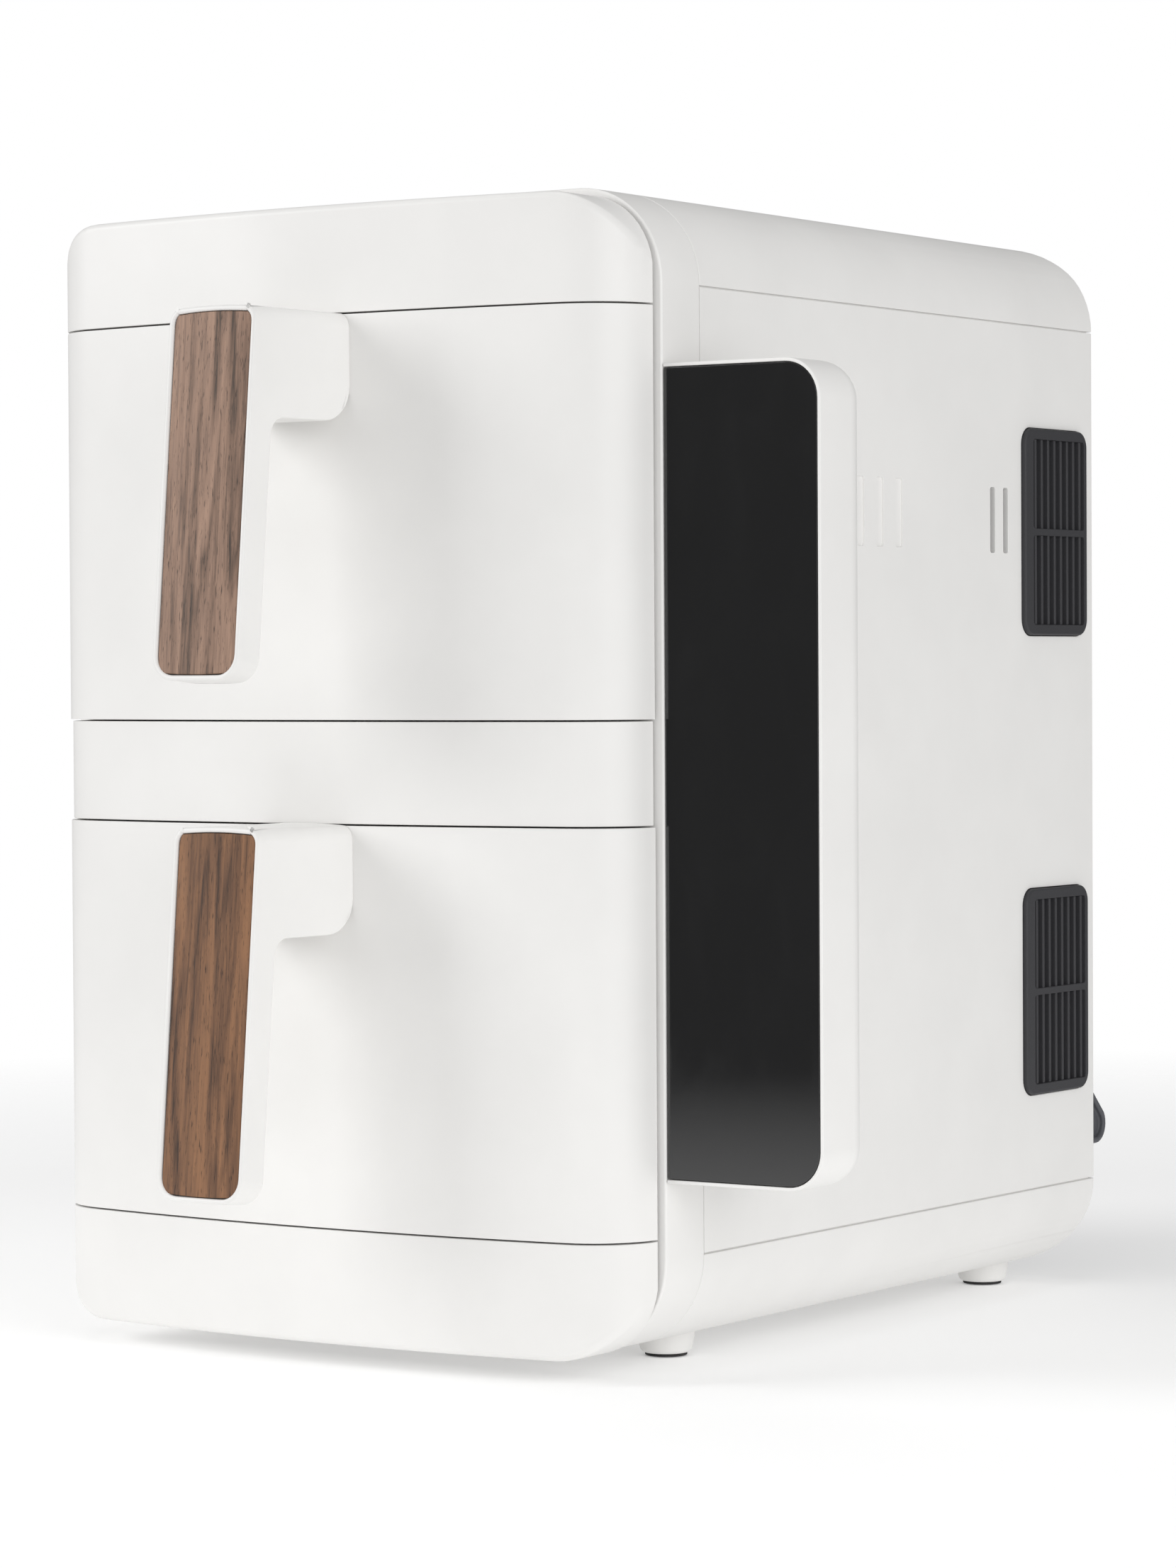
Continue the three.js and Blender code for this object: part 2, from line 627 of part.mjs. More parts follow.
// A foot reaches up to the housing's underside, which is curved above the rear feet.
function foot(x, y) {
  const low = PAD_THICKNESS + GAP;
  const high = GROUND_CLEARANCE + BOTTOM_REAR_ROUND[1] / 2;
  const [wide, narrow] = FOOT_RADII;
  const profile = [
    [0, low],
    [narrow, low],
    [wide, GROUND_CLEARANCE],
    [wide, high],
    [0, high],
  ];
  return cut(turnedZ(profile, x, y), housingBlock(-GAP, COVER_FRONT - OVERRUN));
}

function footPad(x, y) {
  const profile = [
    [0, 0],
    [PAD_RADIUS, 0],
    [PAD_RADIUS, PAD_THICKNESS],
    [0, PAD_THICKNESS],
  ];
  return turnedZ(profile, x, y);
}

// ---- Control pod ----

// The pod seen from the front, moved in by inset: square beside the housing, round outside.
function podFace(inset, innerInset = inset) {
  const left = POD_INNER_X + innerInset;
  const right = POD_OUTER_X - inset;
  const radius = POD_CORNER - inset;
  const shape = new THREE.Shape();
  shape.moveTo(left, POD_BOTTOM + inset);
  shape.lineTo(right - radius, POD_BOTTOM + inset);
  shape.absarc(right - radius, POD_BOTTOM + inset + radius, radius, -HALF_PI, 0);
  shape.absarc(right - radius, POD_TOP - inset - radius, radius, 0, HALF_PI);
  shape.lineTo(left, POD_TOP - inset);
  return shape;
}

function podPlan(inset, front) {
  const left = POD_INNER_X + inset;
  const right = POD_OUTER_X - inset;
  const back = POD_BACK - inset;
  const radius = POD_BACK_CORNER - inset;
  const shape = new THREE.Shape();
  shape.moveTo(left, front);
  shape.lineTo(right, front);
  shape.absarc(right - radius, back - radius, radius, 0, HALF_PI);
  shape.lineTo(left, back);
  return shape;
}

function podBlock(inset, front) {
  return common(
    alongY(podFace(inset), front, POD_BACK + OVERRUN),
    alongZ(podPlan(inset, front), POD_BOTTOM - OVERRUN, POD_TOP + OVERRUN),
  );
}

function controlHousing() {
  const seatInset = POD_RIM - GAP;
  const seat = alongY(
    podFace(seatInset, -OVERRUN),
    RING_FRONT - OVERRUN,
    RING_FRONT + GLASS_THICKNESS + 2 * GAP,
  );
  const cavity = podBlock(POD_RIM + GLASS_LEDGE, RING_FRONT - OVERRUN);
  return cut(podBlock(0, RING_FRONT), seat, cavity);
}

function controlGlass() {
  const front = RING_FRONT + GAP;
  return alongY(podFace(POD_RIM, GAP / 2), front, front + GLASS_THICKNESS);
}

function touchBoard() {
  const inset = POD_RIM + GLASS_LEDGE + BOARD_MARGIN;
  const front = RING_FRONT + GLASS_THICKNESS + BOARD_DEPTH;
  return box(
    [POD_INNER_X + inset, POD_OUTER_X - inset - POD_BACK_CORNER / 3],
    [front, front + BOARD_THICKNESS],
    [POD_BOTTOM + inset + POD_CORNER / 3, POD_TOP - inset - POD_CORNER / 3],
  );
}

// ---- Drawer handle ----

// Turns a solid drawn upright, hanging from z = 0 with its front on y = 0, into the leaning grip.
function leaning(body, top) {
  const degrees = THREE.MathUtils.radToDeg(LEAN_ANGLE);
  return body.rotate([-degrees, 0, 0]).translate([0, GRIP_TOP_Y, top]);
}

// The grip and the arm that joins it to the drawer front, with a pocket for the inlay.
function handleBracket(base) {
  const top = base + DRAWER_HEIGHT + GRIP_RISE;
  const gripFace = roundedRect(
    -GRIP_HALF_WIDTH,
    GRIP_HALF_WIDTH,
    -GRIP_LENGTH,
    GRIP_CORNER,
    GRIP_CORNER,
  );
  const grip = leaning(alongY(gripFace, 0, GRIP_THICKNESS, SMALL_ARC_STEPS), top);
  const low = top - ARM_HEIGHT;
  const armSide = new THREE.Shape();
  armSide.moveTo(GRIP_TOP_Y + GRIP_THICKNESS / 2, top);
  armSide.lineTo(GRIP_TOP_Y + GRIP_THICKNESS / 2, low);
  armSide.absarc(ARM_BACK - ARM_CORNER, low + ARM_CORNER, ARM_CORNER, -HALF_PI, 0);
  armSide.lineTo(ARM_BACK, top - 2 * GRIP_RISE);
  const armPlan = new THREE.Shape();
  const flareStart = GRIP_TOP_Y + GRIP_THICKNESS;
  armPlan.moveTo(-GRIP_HALF_WIDTH, GRIP_TOP_Y);
  armPlan.lineTo(GRIP_HALF_WIDTH, GRIP_TOP_Y);
  armPlan.lineTo(GRIP_HALF_WIDTH, flareStart);
  armPlan.lineTo(ARM_HALF_WIDTH, ARM_BACK);
  armPlan.lineTo(-ARM_HALF_WIDTH, ARM_BACK);
  armPlan.lineTo(-GRIP_HALF_WIDTH, flareStart);
  const arm = common(
    alongX(armSide, -ARM_HALF_WIDTH - OVERRUN, ARM_HALF_WIDTH + OVERRUN),
    alongZ(armPlan, low - OVERRUN, top + OVERRUN),
  );
  const block = common(joined(grip, arm), slab(0, top));
  const pocket = leaning(inlayBlank(GAP, -OVERRUN, INLAY_THICKNESS + GAP), top);
  return cut(block, pocket);
}

// The inlay's plate, grown by clearance, between two depths behind the grip's front.
function inlayBlank(clearance, front, back) {
  const side = GRIP_HALF_WIDTH - INLAY_RIM + clearance;
  const low = INLAY_RIM - GRIP_LENGTH - clearance;
  const high = -INLAY_RIM - GRIP_RISE + clearance;
  const radius = GRIP_CORNER - INLAY_RIM + clearance;
  return alongY(roundedRect(-side, side, low, high, radius), front, back, SMALL_ARC_STEPS);
}

function handleInlay(base) {
  return leaning(inlayBlank(0, 0, INLAY_THICKNESS), base + DRAWER_HEIGHT + GRIP_RISE);
}

// ---- Basket and crisper plate ----

function drawerBasket(base) {
  const low = base + BASKET_LIFT;
  const high = low + BASKET_HEIGHT;
  const outline = (inset) =>
    roundedRect(
      inset - BASKET_HALF_WIDTH,
      BASKET_HALF_WIDTH - inset,
      BASKET_FRONT + inset,
      BASKET_BACK - inset,
      BASKET_CORNER - inset,
    );
  const tub = cut(
    alongZ(outline(0), low, high, SMALL_ARC_STEPS),
    alongZ(outline(BASKET_WALL), low + BASKET_WALL, high + OVERRUN, SMALL_ARC_STEPS),
  );
  // The rear wall is slotted, so that the fan's air can enter the basket.
  const slots = [];
  const spread = BASKET_HALF_WIDTH - BASKET_CORNER - BASKET_SLOT_WIDTH;
  const [plateEnd, rimEnd] = BASKET_SLOT_ENDS;
  for (let i = 0; i < BASKET_SLOTS; i += 1) {
    const x = spread * ((2 * i) / (BASKET_SLOTS - 1) - 1);
    slots.push(
      box(
        [x - BASKET_SLOT_WIDTH / 2, x + BASKET_SLOT_WIDTH / 2],
        [BASKET_BACK - BASKET_WALL - OVERRUN, BASKET_BACK + OVERRUN],
        [low + PLATE_STAND + plateEnd, high - rimEnd],
      ),
    );
  }
  return cut(tub, ...slots);
}

// The slotted plate that the food lies on, standing on four short feet.
function crisperPlate(base) {
  const floor = base + BASKET_LIFT + BASKET_WALL + GAP;
  const low = floor + PLATE_STAND;
  const inset = BASKET_WALL + PLATE_MARGIN;
  const [front, back] = [BASKET_FRONT + inset, BASKET_BACK - inset];
  const side = BASKET_HALF_WIDTH - inset;
  const outline = roundedRect(-side, side, front, back, BASKET_CORNER - inset);
  const plate = alongZ(outline, low, low + PLATE_THICKNESS, SMALL_ARC_STEPS);
  const middle = (front + back) / 2;
  const reach = [side - BASKET_CORNER, (back - front) / 2 - BASKET_CORNER];
  const half = PLATE_FOOT / 2;
  const feet = [];
  for (const x of [-reach[0], reach[0]]) {
    for (const y of [middle - reach[1], middle + reach[1]]) {
      feet.push(box([x - half, x + half], [y - half, y + half], [floor, low + PLATE_THICKNESS / 2]));
    }
  }
  const slots = [];
  const [columns, rows] = PLATE_SLOTS;
  const [wide, deep] = PLATE_SLOT_SIZE;
  for (let row = 0; row < rows; row += 1) {
    const y = middle + ((row + 0.5) / rows - 0.5) * 2 * (reach[1] - PLATE_FOOT);
    for (let column = 0; column < columns; column += 1) {
      const x = ((column + 0.5) / columns - 0.5) * 2 * (reach[0] - PLATE_FOOT);
      const width = [x - wide / 2, x + wide / 2];
      slots.push(box(width, [y - deep / 2, y + deep / 2], [floor, low + OVERRUN]));
    }
  }
  return cut(joined(plate, ...feet), ...slots);
}

// ---- Cooking chamber ----

function ovenLiner(base) {
  const low = base + LINER_MARGIN;
  const high = low + CHAMBER_HEIGHT;
  const front = PLATE_BACK + GAP;
  const face = (inset) =>
    roundedRect(
      inset - LINER_HALF_WIDTH,
      LINER_HALF_WIDTH - inset,
      low + inset,
      high - inset,
      LINER_CORNER - inset,
    );
  const shell = cut(
    alongY(face(0), front, LINER_BACK, SMALL_ARC_STEPS),
    alongY(face(LINER_WALL), front - OVERRUN, LINER_BACK - LINER_WALL, SMALL_ARC_STEPS),
  );
  const floor = base + LINER_FLOOR;
  const rails = [-1, 1].map((side) => {
    const x = side * (BASKET_HALF_WIDTH - RAIL_INSET);
    const width = [x - RAIL[0] / 2, x + RAIL[0] / 2];
    return box(width, [front + OVERRUN, BASKET_BACK], [floor - LINER_WALL / 2, floor + RAIL[1]]);
  });
  return cut(joined(shell, ...rails), ...rearHoles(base, LINER_BACK - OVERRUN, LINER_BACK + GAP / 2));
}

// The holes that the fan shaft and the heater's two legs pass through.
function rearHoles(base, front, back) {
  const z = base + AXIS_HEIGHT;
  const legZ = z + heaterLegRise();
  return [
    barY(SHAFT_RADIUS + 2 * HOLE_CLEARANCE, 0, z, front, back, 12),
    barY(HEATER_TUBE + HOLE_CLEARANCE, -HEATER_LEG_OFFSET, legZ, front, back, 8),
    barY(HEATER_TUBE + HOLE_CLEARANCE, HEATER_LEG_OFFSET, legZ, front, back, 8),
  ];
}

// Height above the fan's axis at which the heater ring meets its legs.
function heaterLegRise() {
  return Math.sqrt(HEATER_RADIUS ** 2 - HEATER_LEG_OFFSET ** 2);
}

function heatingElement(base) {
  const z = base + AXIS_HEIGHT;
  const sides = 6;
  const profile = [];
  for (let i = 0; i <= sides; i += 1) {
    const angle = (i % sides) * (2 * Math.PI / sides);
    const radius = HEATER_RADIUS + HEATER_TUBE * Math.cos(angle);
    profile.push([radius, HEATER_Y + HEATER_TUBE * Math.sin(angle)]);
  }
  const ring = turnedY(profile, 0, z, 24);
  const legZ = z + heaterLegRise();
  const legs = [-HEATER_LEG_OFFSET, HEATER_LEG_OFFSET].map((x) =>
    barY(HEATER_TUBE, x, legZ, HEATER_Y, BULKHEAD_BACK + HEATER_LEG_END, 8),
  );
  return joined(ring, ...legs);
}

// A slotted disc in front of the fan, on three posts from the liner's rear wall.
function fanGuard(base) {
  const z = base + AXIS_HEIGHT;
  const front = GUARD_BACK - GUARD_THICKNESS;
  const disc = barY(GUARD_RADIUS, 0, z, front, GUARD_BACK, 24);
  const slots = [];
  for (let i = 0; i < GUARD_SLOTS; i += 1) {
    const slot = box(
      [GUARD_SLOT_INSET, GUARD_RADIUS - GUARD_SLOT_INSET],
      [front - OVERRUN, GUARD_BACK + OVERRUN],
      [-GUARD_SLOT_WIDTH / 2, GUARD_SLOT_WIDTH / 2],
    );
    slots.push(slot.rotate([0, (i * 360) / GUARD_SLOTS, 0]).translate([0, 0, z]));
  }
  const postRadius = (HEATER_RADIUS - HEATER_TUBE + FAN_RADIUS) / 2;
  const posts = [90, 210, 330].map((degrees) => {
    const angle = THREE.MathUtils.degToRad(degrees);
    const x = postRadius * Math.cos(angle);
    const rise = postRadius * Math.sin(angle);
    const front = GUARD_BACK - GUARD_THICKNESS / 2;
    return barY(GUARD_POST, x, z + rise, front, LINER_BACK - LINER_WALL - GAP, 8);
  });
  return joined(cut(disc, ...slots), ...posts);
}

// Blades in a ring about the y axis through (0, z), between two radii.
function bladeRing(count, [inner, outer], [front, back], pitchDegrees, z) {
  const blades = [];
  for (let i = 0; i < count; i += 1) {
    const half = BLADE_THICKNESS / 2;
    const blade = box([inner, outer], [front, back], [-half, half]);
    const middle = (front + back) / 2;
    const pitched = blade
      .translate([0, -middle, 0])
      .rotate([pitchDegrees, 0, 0])
      .translate([0, middle, 0]);
    blades.push(pitched.rotate([0, (i * 360) / count, 0]).translate([0, 0, z]));
  }
  return blades;
}

// The fan in the chamber: upright blades on a disc, with a hub on the shaft.
function circulationFan(base) {
  const z = base + AXIS_HEIGHT;
  const disc = barY(FAN_RADIUS, 0, z, FAN_BACK - FAN_DISC, FAN_BACK, 24);
  const hub = barY(SHAFT_RADIUS + HUB_WALL, 0, z, SHAFT_FRONT + 1, FAN_BACK, 16);
  const blades = bladeRing(
    FAN_BLADES,
    [SHAFT_RADIUS + 2 * HUB_WALL, FAN_RADIUS - FAN_DISC / 2],
    [FAN_FRONT, FAN_BACK - FAN_DISC / 2],
    0,
    z,
  );
  const bore = barY(SHAFT_BORE, 0, z, FAN_FRONT - OVERRUN, FAN_BACK + OVERRUN);
  return cut(joined(disc, hub, ...blades), bore);
}

function fanShaft(base) {
  return barY(SHAFT_RADIUS, 0, base + AXIS_HEIGHT, SHAFT_FRONT, SHAFT_BACK, 12);
}

// The motor's casing, with its shaft bore and two lugs that fasten it to the bulkhead.
function fanMotor(base) {
  const z = base + AXIS_HEIGHT;
  const casing = barY(MOTOR_RADIUS, 0, z, MOTOR_FRONT, MOTOR_BACK, 24);
  const [beyond, height, thickness] = MOTOR_LUG;
  const reach = MOTOR_RADIUS + beyond;
  const depth = [MOTOR_FRONT, MOTOR_FRONT + thickness];
  const lugs = box([-reach, reach], depth, [z - height / 2, z + height / 2]);
  const boreRadius = SHAFT_RADIUS + 2 * SHAFT_CLEARANCE;
  const bore = barY(boreRadius, 0, z, MOTOR_FRONT - OVERRUN, MOTOR_BACK + OVERRUN);
  return cut(joined(casing, lugs), bore);
}

// The fan behind the motor, which cools the rear compartment.
function coolingFan(base) {
  const z = base + AXIS_HEIGHT;
  const back = COOLING_FRONT + COOLING_DEPTH;
  const hub = barY(SHAFT_RADIUS + 1.5 * HUB_WALL, 0, z, COOLING_FRONT, back, 16);
  const blades = bladeRing(
    COOLING_BLADES,
    [SHAFT_RADIUS + HUB_WALL, COOLING_FAN_RADIUS],
    [COOLING_FRONT, back],
    COOLING_PITCH,
    z,
  );
  const bore = barY(SHAFT_BORE, 0, z, COOLING_FRONT - OVERRUN, back + OVERRUN);
  return cut(joined(hub, ...blades), bore);
}

// The wall between the chambers and the rear compartment, which carries the motors.
function bulkhead() {
  const plate = alongY(housingFace(INNER_INSET), BULKHEAD_FRONT, BULKHEAD_BACK);
  const holes = Object.values(DRAWER_BASES).flatMap((base) =>
    rearHoles(base, BULKHEAD_FRONT - OVERRUN, BULKHEAD_BACK + OVERRUN),
  );
  return cut(plate, ...holes);
}

// The power board stands between the two motors, on four pillars from the bulkhead.
function powerBoard() {
  const middle = (DRAWER_BASES.lower + DRAWER_BASES.upper) / 2 + AXIS_HEIGHT;
  const [width, height] = BOARD_SIZE;
  const [radius, inset] = PILLAR;
  const front = BULKHEAD_BACK + HEATER_LEG_END + BOARD_STAND;
  const board = box(
    [-width / 2, width / 2],
    [front, front + BOARD_THICKNESS],
    [middle - height / 2, middle + height / 2],
  );
  const pillars = [];
  for (const x of [inset - width / 2, width / 2 - inset]) {
    for (const z of [inset - height / 2, height / 2 - inset]) {
      pillars.push(barY(radius, x, middle + z, BULKHEAD_BACK + GAP, front + GAP, 8));
    }
  }
  return joined(board, ...pillars);
}

// ---- Assembly ----

// The part's origin is the middle of its footprint: the pod widens it on the right, the handles
// reach forward of the housing and the spacers behind it.
const HANDLE_FRONT = GRIP_TOP_Y - GRIP_LENGTH * Math.sin(LEAN_ANGLE);
const assembly = new THREE.Group();
assembly.position.set(
  (HOUSING_HALF_WIDTH - POD_OUTER_X) / 2 + GRILLE_PROUD / 2,
  -(HOUSING_BACK + SPACER_DEPTH + HANDLE_FRONT) / 2,
  0,
);

function place(name, body, material) {
  const mesh = new THREE.Mesh(geometryOf(body), material);
  mesh.name = name;
  assembly.add(mesh);
}

function placeHousing() {
  place("upper_fascia", upperFascia(), white);
  place("middle_fascia", middleFascia(), white);
  place("lower_fascia", lowerFascia(), white);
  place("front_frame", frontFrame(), white);
  place("top_cover", topCover(), white);
  place("base_cover", baseCover(), white);
  place("back_panel", backPanel(), darkPlastic);
  place("rear_bulkhead", bulkhead(), bareSteel);
  place("power_board", powerBoard(), circuitBoard);
  place("cord_bush", cordBush(), darkPlastic);
  for (const [word, side] of [["left", -1], ["right", 1]]) {
    place(`${word}_side_panel`, sidePanel(side), white);
    place(`${word}_rear_spacer`, rearSpacer(side), darkPlastic);
    for (const [row, base] of Object.entries(DRAWER_BASES)) {
      place(`${word}_${row}_grille`, sideGrille(side, base + GRILLE_RISE), charcoal);
    }
    for (const [end, y] of [["front", FOOT_Y[0]], ["rear", FOOT_Y[1]]]) {
      place(`${end}_${word}_foot`, foot(side * FOOT_X, y), white);
      place(`${end}_${word}_foot_pad`, footPad(side * FOOT_X, y), rubber);
    }
  }
}

function placeControls() {
  place("control_housing", controlHousing(), white);
  place("control_glass", controlGlass(), blackGlass);
  place("touch_board", touchBoard(), circuitBoard);
}

function placeDrawer(row, base) {
  place(`${row}_drawer_front`, drawerFront(base), white);
  place(`${row}_drawer_back_plate`, drawerBackPlate(base), darkPlastic);
  place(`${row}_handle_bracket`, handleBracket(base), white);
  place(`${row}_handle_inlay`, handleInlay(base), walnut);
  place(`${row}_basket`, drawerBasket(base), coatedSteel);
  place(`${row}_crisper_plate`, crisperPlate(base), coatedSteel);
}

function placeChamber(row, base) {
  place(`${row}_oven_liner`, ovenLiner(base), bareSteel);
  place(`${row}_heating_element`, heatingElement(base), darkSteel);
  place(`${row}_fan_guard`, fanGuard(base), bareSteel);
  place(`${row}_circulation_fan`, circulationFan(base), bareSteel);
  place(`${row}_fan_shaft`, fanShaft(base), darkSteel);
  place(`${row}_fan_motor`, fanMotor(base), darkSteel);
  place(`${row}_cooling_fan`, coolingFan(base), charcoal);
}

placeHousing();
placeControls();
for (const [row, base] of Object.entries(DRAWER_BASES)) {
  placeDrawer(row, base);
  placeChamber(row, base);
}

export default assembly;
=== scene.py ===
"""Looks of a two-drawer air fryer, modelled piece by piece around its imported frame.

Every piece is shaped on a bench in millimetres, where x = 0 is the housing's middle plane, y = 0 the
groove between the bowed front and the ring frame, and z = 0 the surface that the feet stand on.
A finished piece is then set down in the frame, in metres.
"""

import itertools
import logging
import math
from contextlib import contextmanager
from dataclasses import dataclass, field
from enum import Enum
from typing import Callable, Iterable, Iterator, Optional, Sequence, Union

import bmesh
import bpy
from mathutils import Matrix, Vector


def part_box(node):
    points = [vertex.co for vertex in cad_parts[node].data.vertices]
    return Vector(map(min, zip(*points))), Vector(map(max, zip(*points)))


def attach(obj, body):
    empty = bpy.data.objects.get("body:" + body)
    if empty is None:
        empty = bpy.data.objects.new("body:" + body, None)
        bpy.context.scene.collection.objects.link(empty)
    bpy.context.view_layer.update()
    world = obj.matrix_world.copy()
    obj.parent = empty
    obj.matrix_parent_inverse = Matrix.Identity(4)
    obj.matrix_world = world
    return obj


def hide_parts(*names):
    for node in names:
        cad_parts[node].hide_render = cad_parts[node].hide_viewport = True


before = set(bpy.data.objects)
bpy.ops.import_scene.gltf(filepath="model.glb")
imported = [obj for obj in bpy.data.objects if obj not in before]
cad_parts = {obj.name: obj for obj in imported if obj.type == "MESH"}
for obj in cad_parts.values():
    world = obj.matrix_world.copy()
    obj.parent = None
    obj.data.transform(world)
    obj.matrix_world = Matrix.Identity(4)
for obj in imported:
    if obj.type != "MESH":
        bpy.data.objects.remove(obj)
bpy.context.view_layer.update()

log = logging.getLogger("air_fryer")

MM = 0.001
Point = tuple[float, float, float]
Flat = tuple[float, float]
Colour = tuple[float, float, float]
Test = Callable[[object], bool]

CLEAR = 5  # how far a cutter reaches past what it cuts, in millimetres
FAR = 9  # the same for what is cut out of a cutter
SKY = 450  # a height above everything
HAIR = 0.01  # how near a level a corner on it lies
MERGED = 1e-3  # how near doubled corners lie
SLICED = 1e-4  # how near a slice a corner on it lies


def tone(red: float, green: float, blue: float) -> Colour:
    """A display colour, 0 to 255 a channel, as linear light by the sRGB curve."""

    def linear(value: float) -> float:
        """One channel as linear light."""
        share = value / 255
        return share / 12.92 if share < 0.04045 else ((share + 0.055) / 1.055) ** 2.4

    return linear(red), linear(green), linear(blue)


# ---- shader sheets


class Term:
    """A shader socket on which Python's operators add Math nodes."""

    def __init__(self, sheet: "Sheet", socket: bpy.types.NodeSocket) -> None:
        """Wraps one output socket of the sheet."""
        self.sheet = sheet
        self.socket = socket

    def math(self, operation: str, other: Union["Term", float]) -> "Term":
        """The result of a Math node on this term and another value."""
        return self.sheet.node("ShaderNodeMath", {"operation": operation}, {0: self, 1: other})

    def __add__(self, other: Union["Term", float]) -> "Term":
        """Sum."""
        return self.math("ADD", other)

    def __sub__(self, other: Union["Term", float]) -> "Term":
        """Difference."""
        return self.math("SUBTRACT", other)

    def __mul__(self, other: Union["Term", float]) -> "Term":
        """Product."""
        return self.math("MULTIPLY", other)


class Sheet:
    """The node sheet of one material."""

    def __init__(self, name: str) -> None:
        """Starts an empty material with its shader and output."""
        self.material = bpy.data.materials.new(name)
        self.material.use_nodes = True
        self.tree = self.material.node_tree
        self.tree.nodes.clear()
        self.shader = self.tree.nodes.new("ShaderNodeBsdfPrincipled")
        output = self.tree.nodes.new("ShaderNodeOutputMaterial")
        self.tree.links.new(self.shader.outputs[0], output.inputs[0])

    def fill(self, node: bpy.types.Node, sockets: dict) -> None:
        """Sets or links a node's input sockets, by name or place."""
        for key, value in sockets.items():
            if isinstance(value, Term):
                self.tree.links.new(value.socket, node.inputs[key])
            elif isinstance(value, tuple) and len(value) == 3 and node.inputs[key].type == "RGBA":
                node.inputs[key].default_value = (*value, 1)
            else:
                node.inputs[key].default_value = value

    def node(self, kind: str, settings: dict, sockets: dict, out: Union[str, int] = 0) -> Term:
        """Adds a node.

        Args:
            kind: the node's type.
            settings: its own settings, set first. "stops" are a ramp's places and colours.
            sockets: values or terms for its inputs, by name or place.
            out: the output that is wanted.

        Returns:
            That output.
        """
        node = self.tree.nodes.new(kind)
        for key, value in settings.items():
            if key == "stops":
                ramp = node.color_ramp.elements
                while len(ramp) < len(value):
                    ramp.new(0.5)
                for element, (place, colour) in zip(ramp, value):
                    element.position = place
                    element.color = (*colour, 1)
            else:
                setattr(node, key, value)
        self.fill(node, sockets)
        return Term(self, node.outputs[out])

    def spot(self, scale: Point = (1, 1, 1)) -> Term:
        """Object coordinates in metres, stretched."""
        spot = self.node("ShaderNodeTexCoord", {}, {}, "Object")
        return self.node("ShaderNodeMapping", {}, {"Vector": spot, "Scale": scale})

    def noise(self, size: float, detail: float = 2, stretch: Point = (1, 1, 1), warp: float = 0) -> Term:
        """Noise whose features are about size millimetres."""
        sockets = {
            "Vector": self.spot(stretch),
            "Scale": 1 / (size * MM),
            "Detail": detail,
            "Distortion": warp,
        }
        return self.node("ShaderNodeTexNoise", {}, sockets, "Fac")

    def ramp(self, factor: Term, *stops: tuple[float, Colour]) -> Term:
        """Colours along a factor."""
        return self.node("ShaderNodeValToRGB", {"stops": stops}, {"Fac": factor}, "Color")

    def spread(self, factor: Term, source: Flat, target: Flat) -> Term:
        """A factor carried from one range to another, held inside it."""
        sockets = {0: factor, 1: source[0], 2: source[1], 3: target[0], 4: target[1]}
        return self.node("ShaderNodeMapRange", {"clamp": True}, sockets)

    def mix(self, factor: Term, low: Union[Term, Colour], high: Union[Term, Colour]) -> Term:
        """Blends two colours."""
        sockets = {0: factor, 6: low, 7: high}
        return self.node("ShaderNodeMix", {"data_type": "RGBA"}, sockets, 2)

    def bump(self, height: Term, depth: float, strength: float) -> Term:
        """A bump depth millimetres high."""
        sockets = {"Height": height, "Distance": depth * MM, "Strength": strength}
        return self.node("ShaderNodeBump", {}, sockets)

    def surface(self, **sockets: object) -> bpy.types.Material:
        """Fills the shader, whose socket names are written with underscores, and returns the material."""
        self.fill(self.shader, {key.replace("_", " "): value for key, value in sockets.items()})
        return self.material


# ---- finishes

MOST: Flat = (0.3, 0.7)  # where most of a noise's values lie
ALL: Flat = (0.25, 0.75)  # where nearly all of them lie
WHOLE: Flat = (0, 1)


class Slot(Enum):
    """The record's material slots."""

    WHITE = "body_white"
    CHARCOAL = "grille_charcoal"
    GLASS = "glass_black"
    WOOD = "wood_walnut"
    GREY = "plastic_grey"
    RUBBER = "rubber_black"
    COATED = "steel_coated"
    STEEL = "steel_bare"
    DARK_STEEL = "steel_dark"
    BOARD = "circuit_board"


@dataclass(frozen=True)
class Finish:
    """What every finish has."""

    name: str
    slot: Slot

    def paint(self) -> bpy.types.Material:
        """The finish's material, made once."""
        return bpy.data.materials.get(self.name) or self.mix_paint(Sheet(self.name))

    def mix_paint(self, sheet: Sheet) -> bpy.types.Material:
        """Fills the sheet."""
        raise NotImplementedError


@dataclass(frozen=True)
class Moulded(Finish):
    """Moulded plastic with a fine spark grain and a faint unevenness of shade.

    grain is the grain's size and depth its height, in millimetres.
    """

    colour: Colour
    roughness: float
    grain: float = 0.35
    depth: float = 0.012
    specular: float = 0.5

    def mix_paint(self, sheet: Sheet) -> bpy.types.Material:
        """Grain as a bump, and slow changes of shade and gloss."""
        cloud = sheet.noise(38, 3)
        shade = sheet.spread(cloud, MOST, WHOLE)
        darker = tuple(channel * 0.965 for channel in self.colour)
        grain = sheet.noise(self.grain, 3)
        gloss = sheet.spread(grain, ALL, (self.roughness - 0.04, self.roughness + 0.05))
        return sheet.surface(
            Base_Color=sheet.mix(shade, darker, self.colour),
            Roughness=gloss,
            Specular_IOR_Level=self.specular,
            Normal=sheet.bump(grain, self.depth, 0.6),
        )


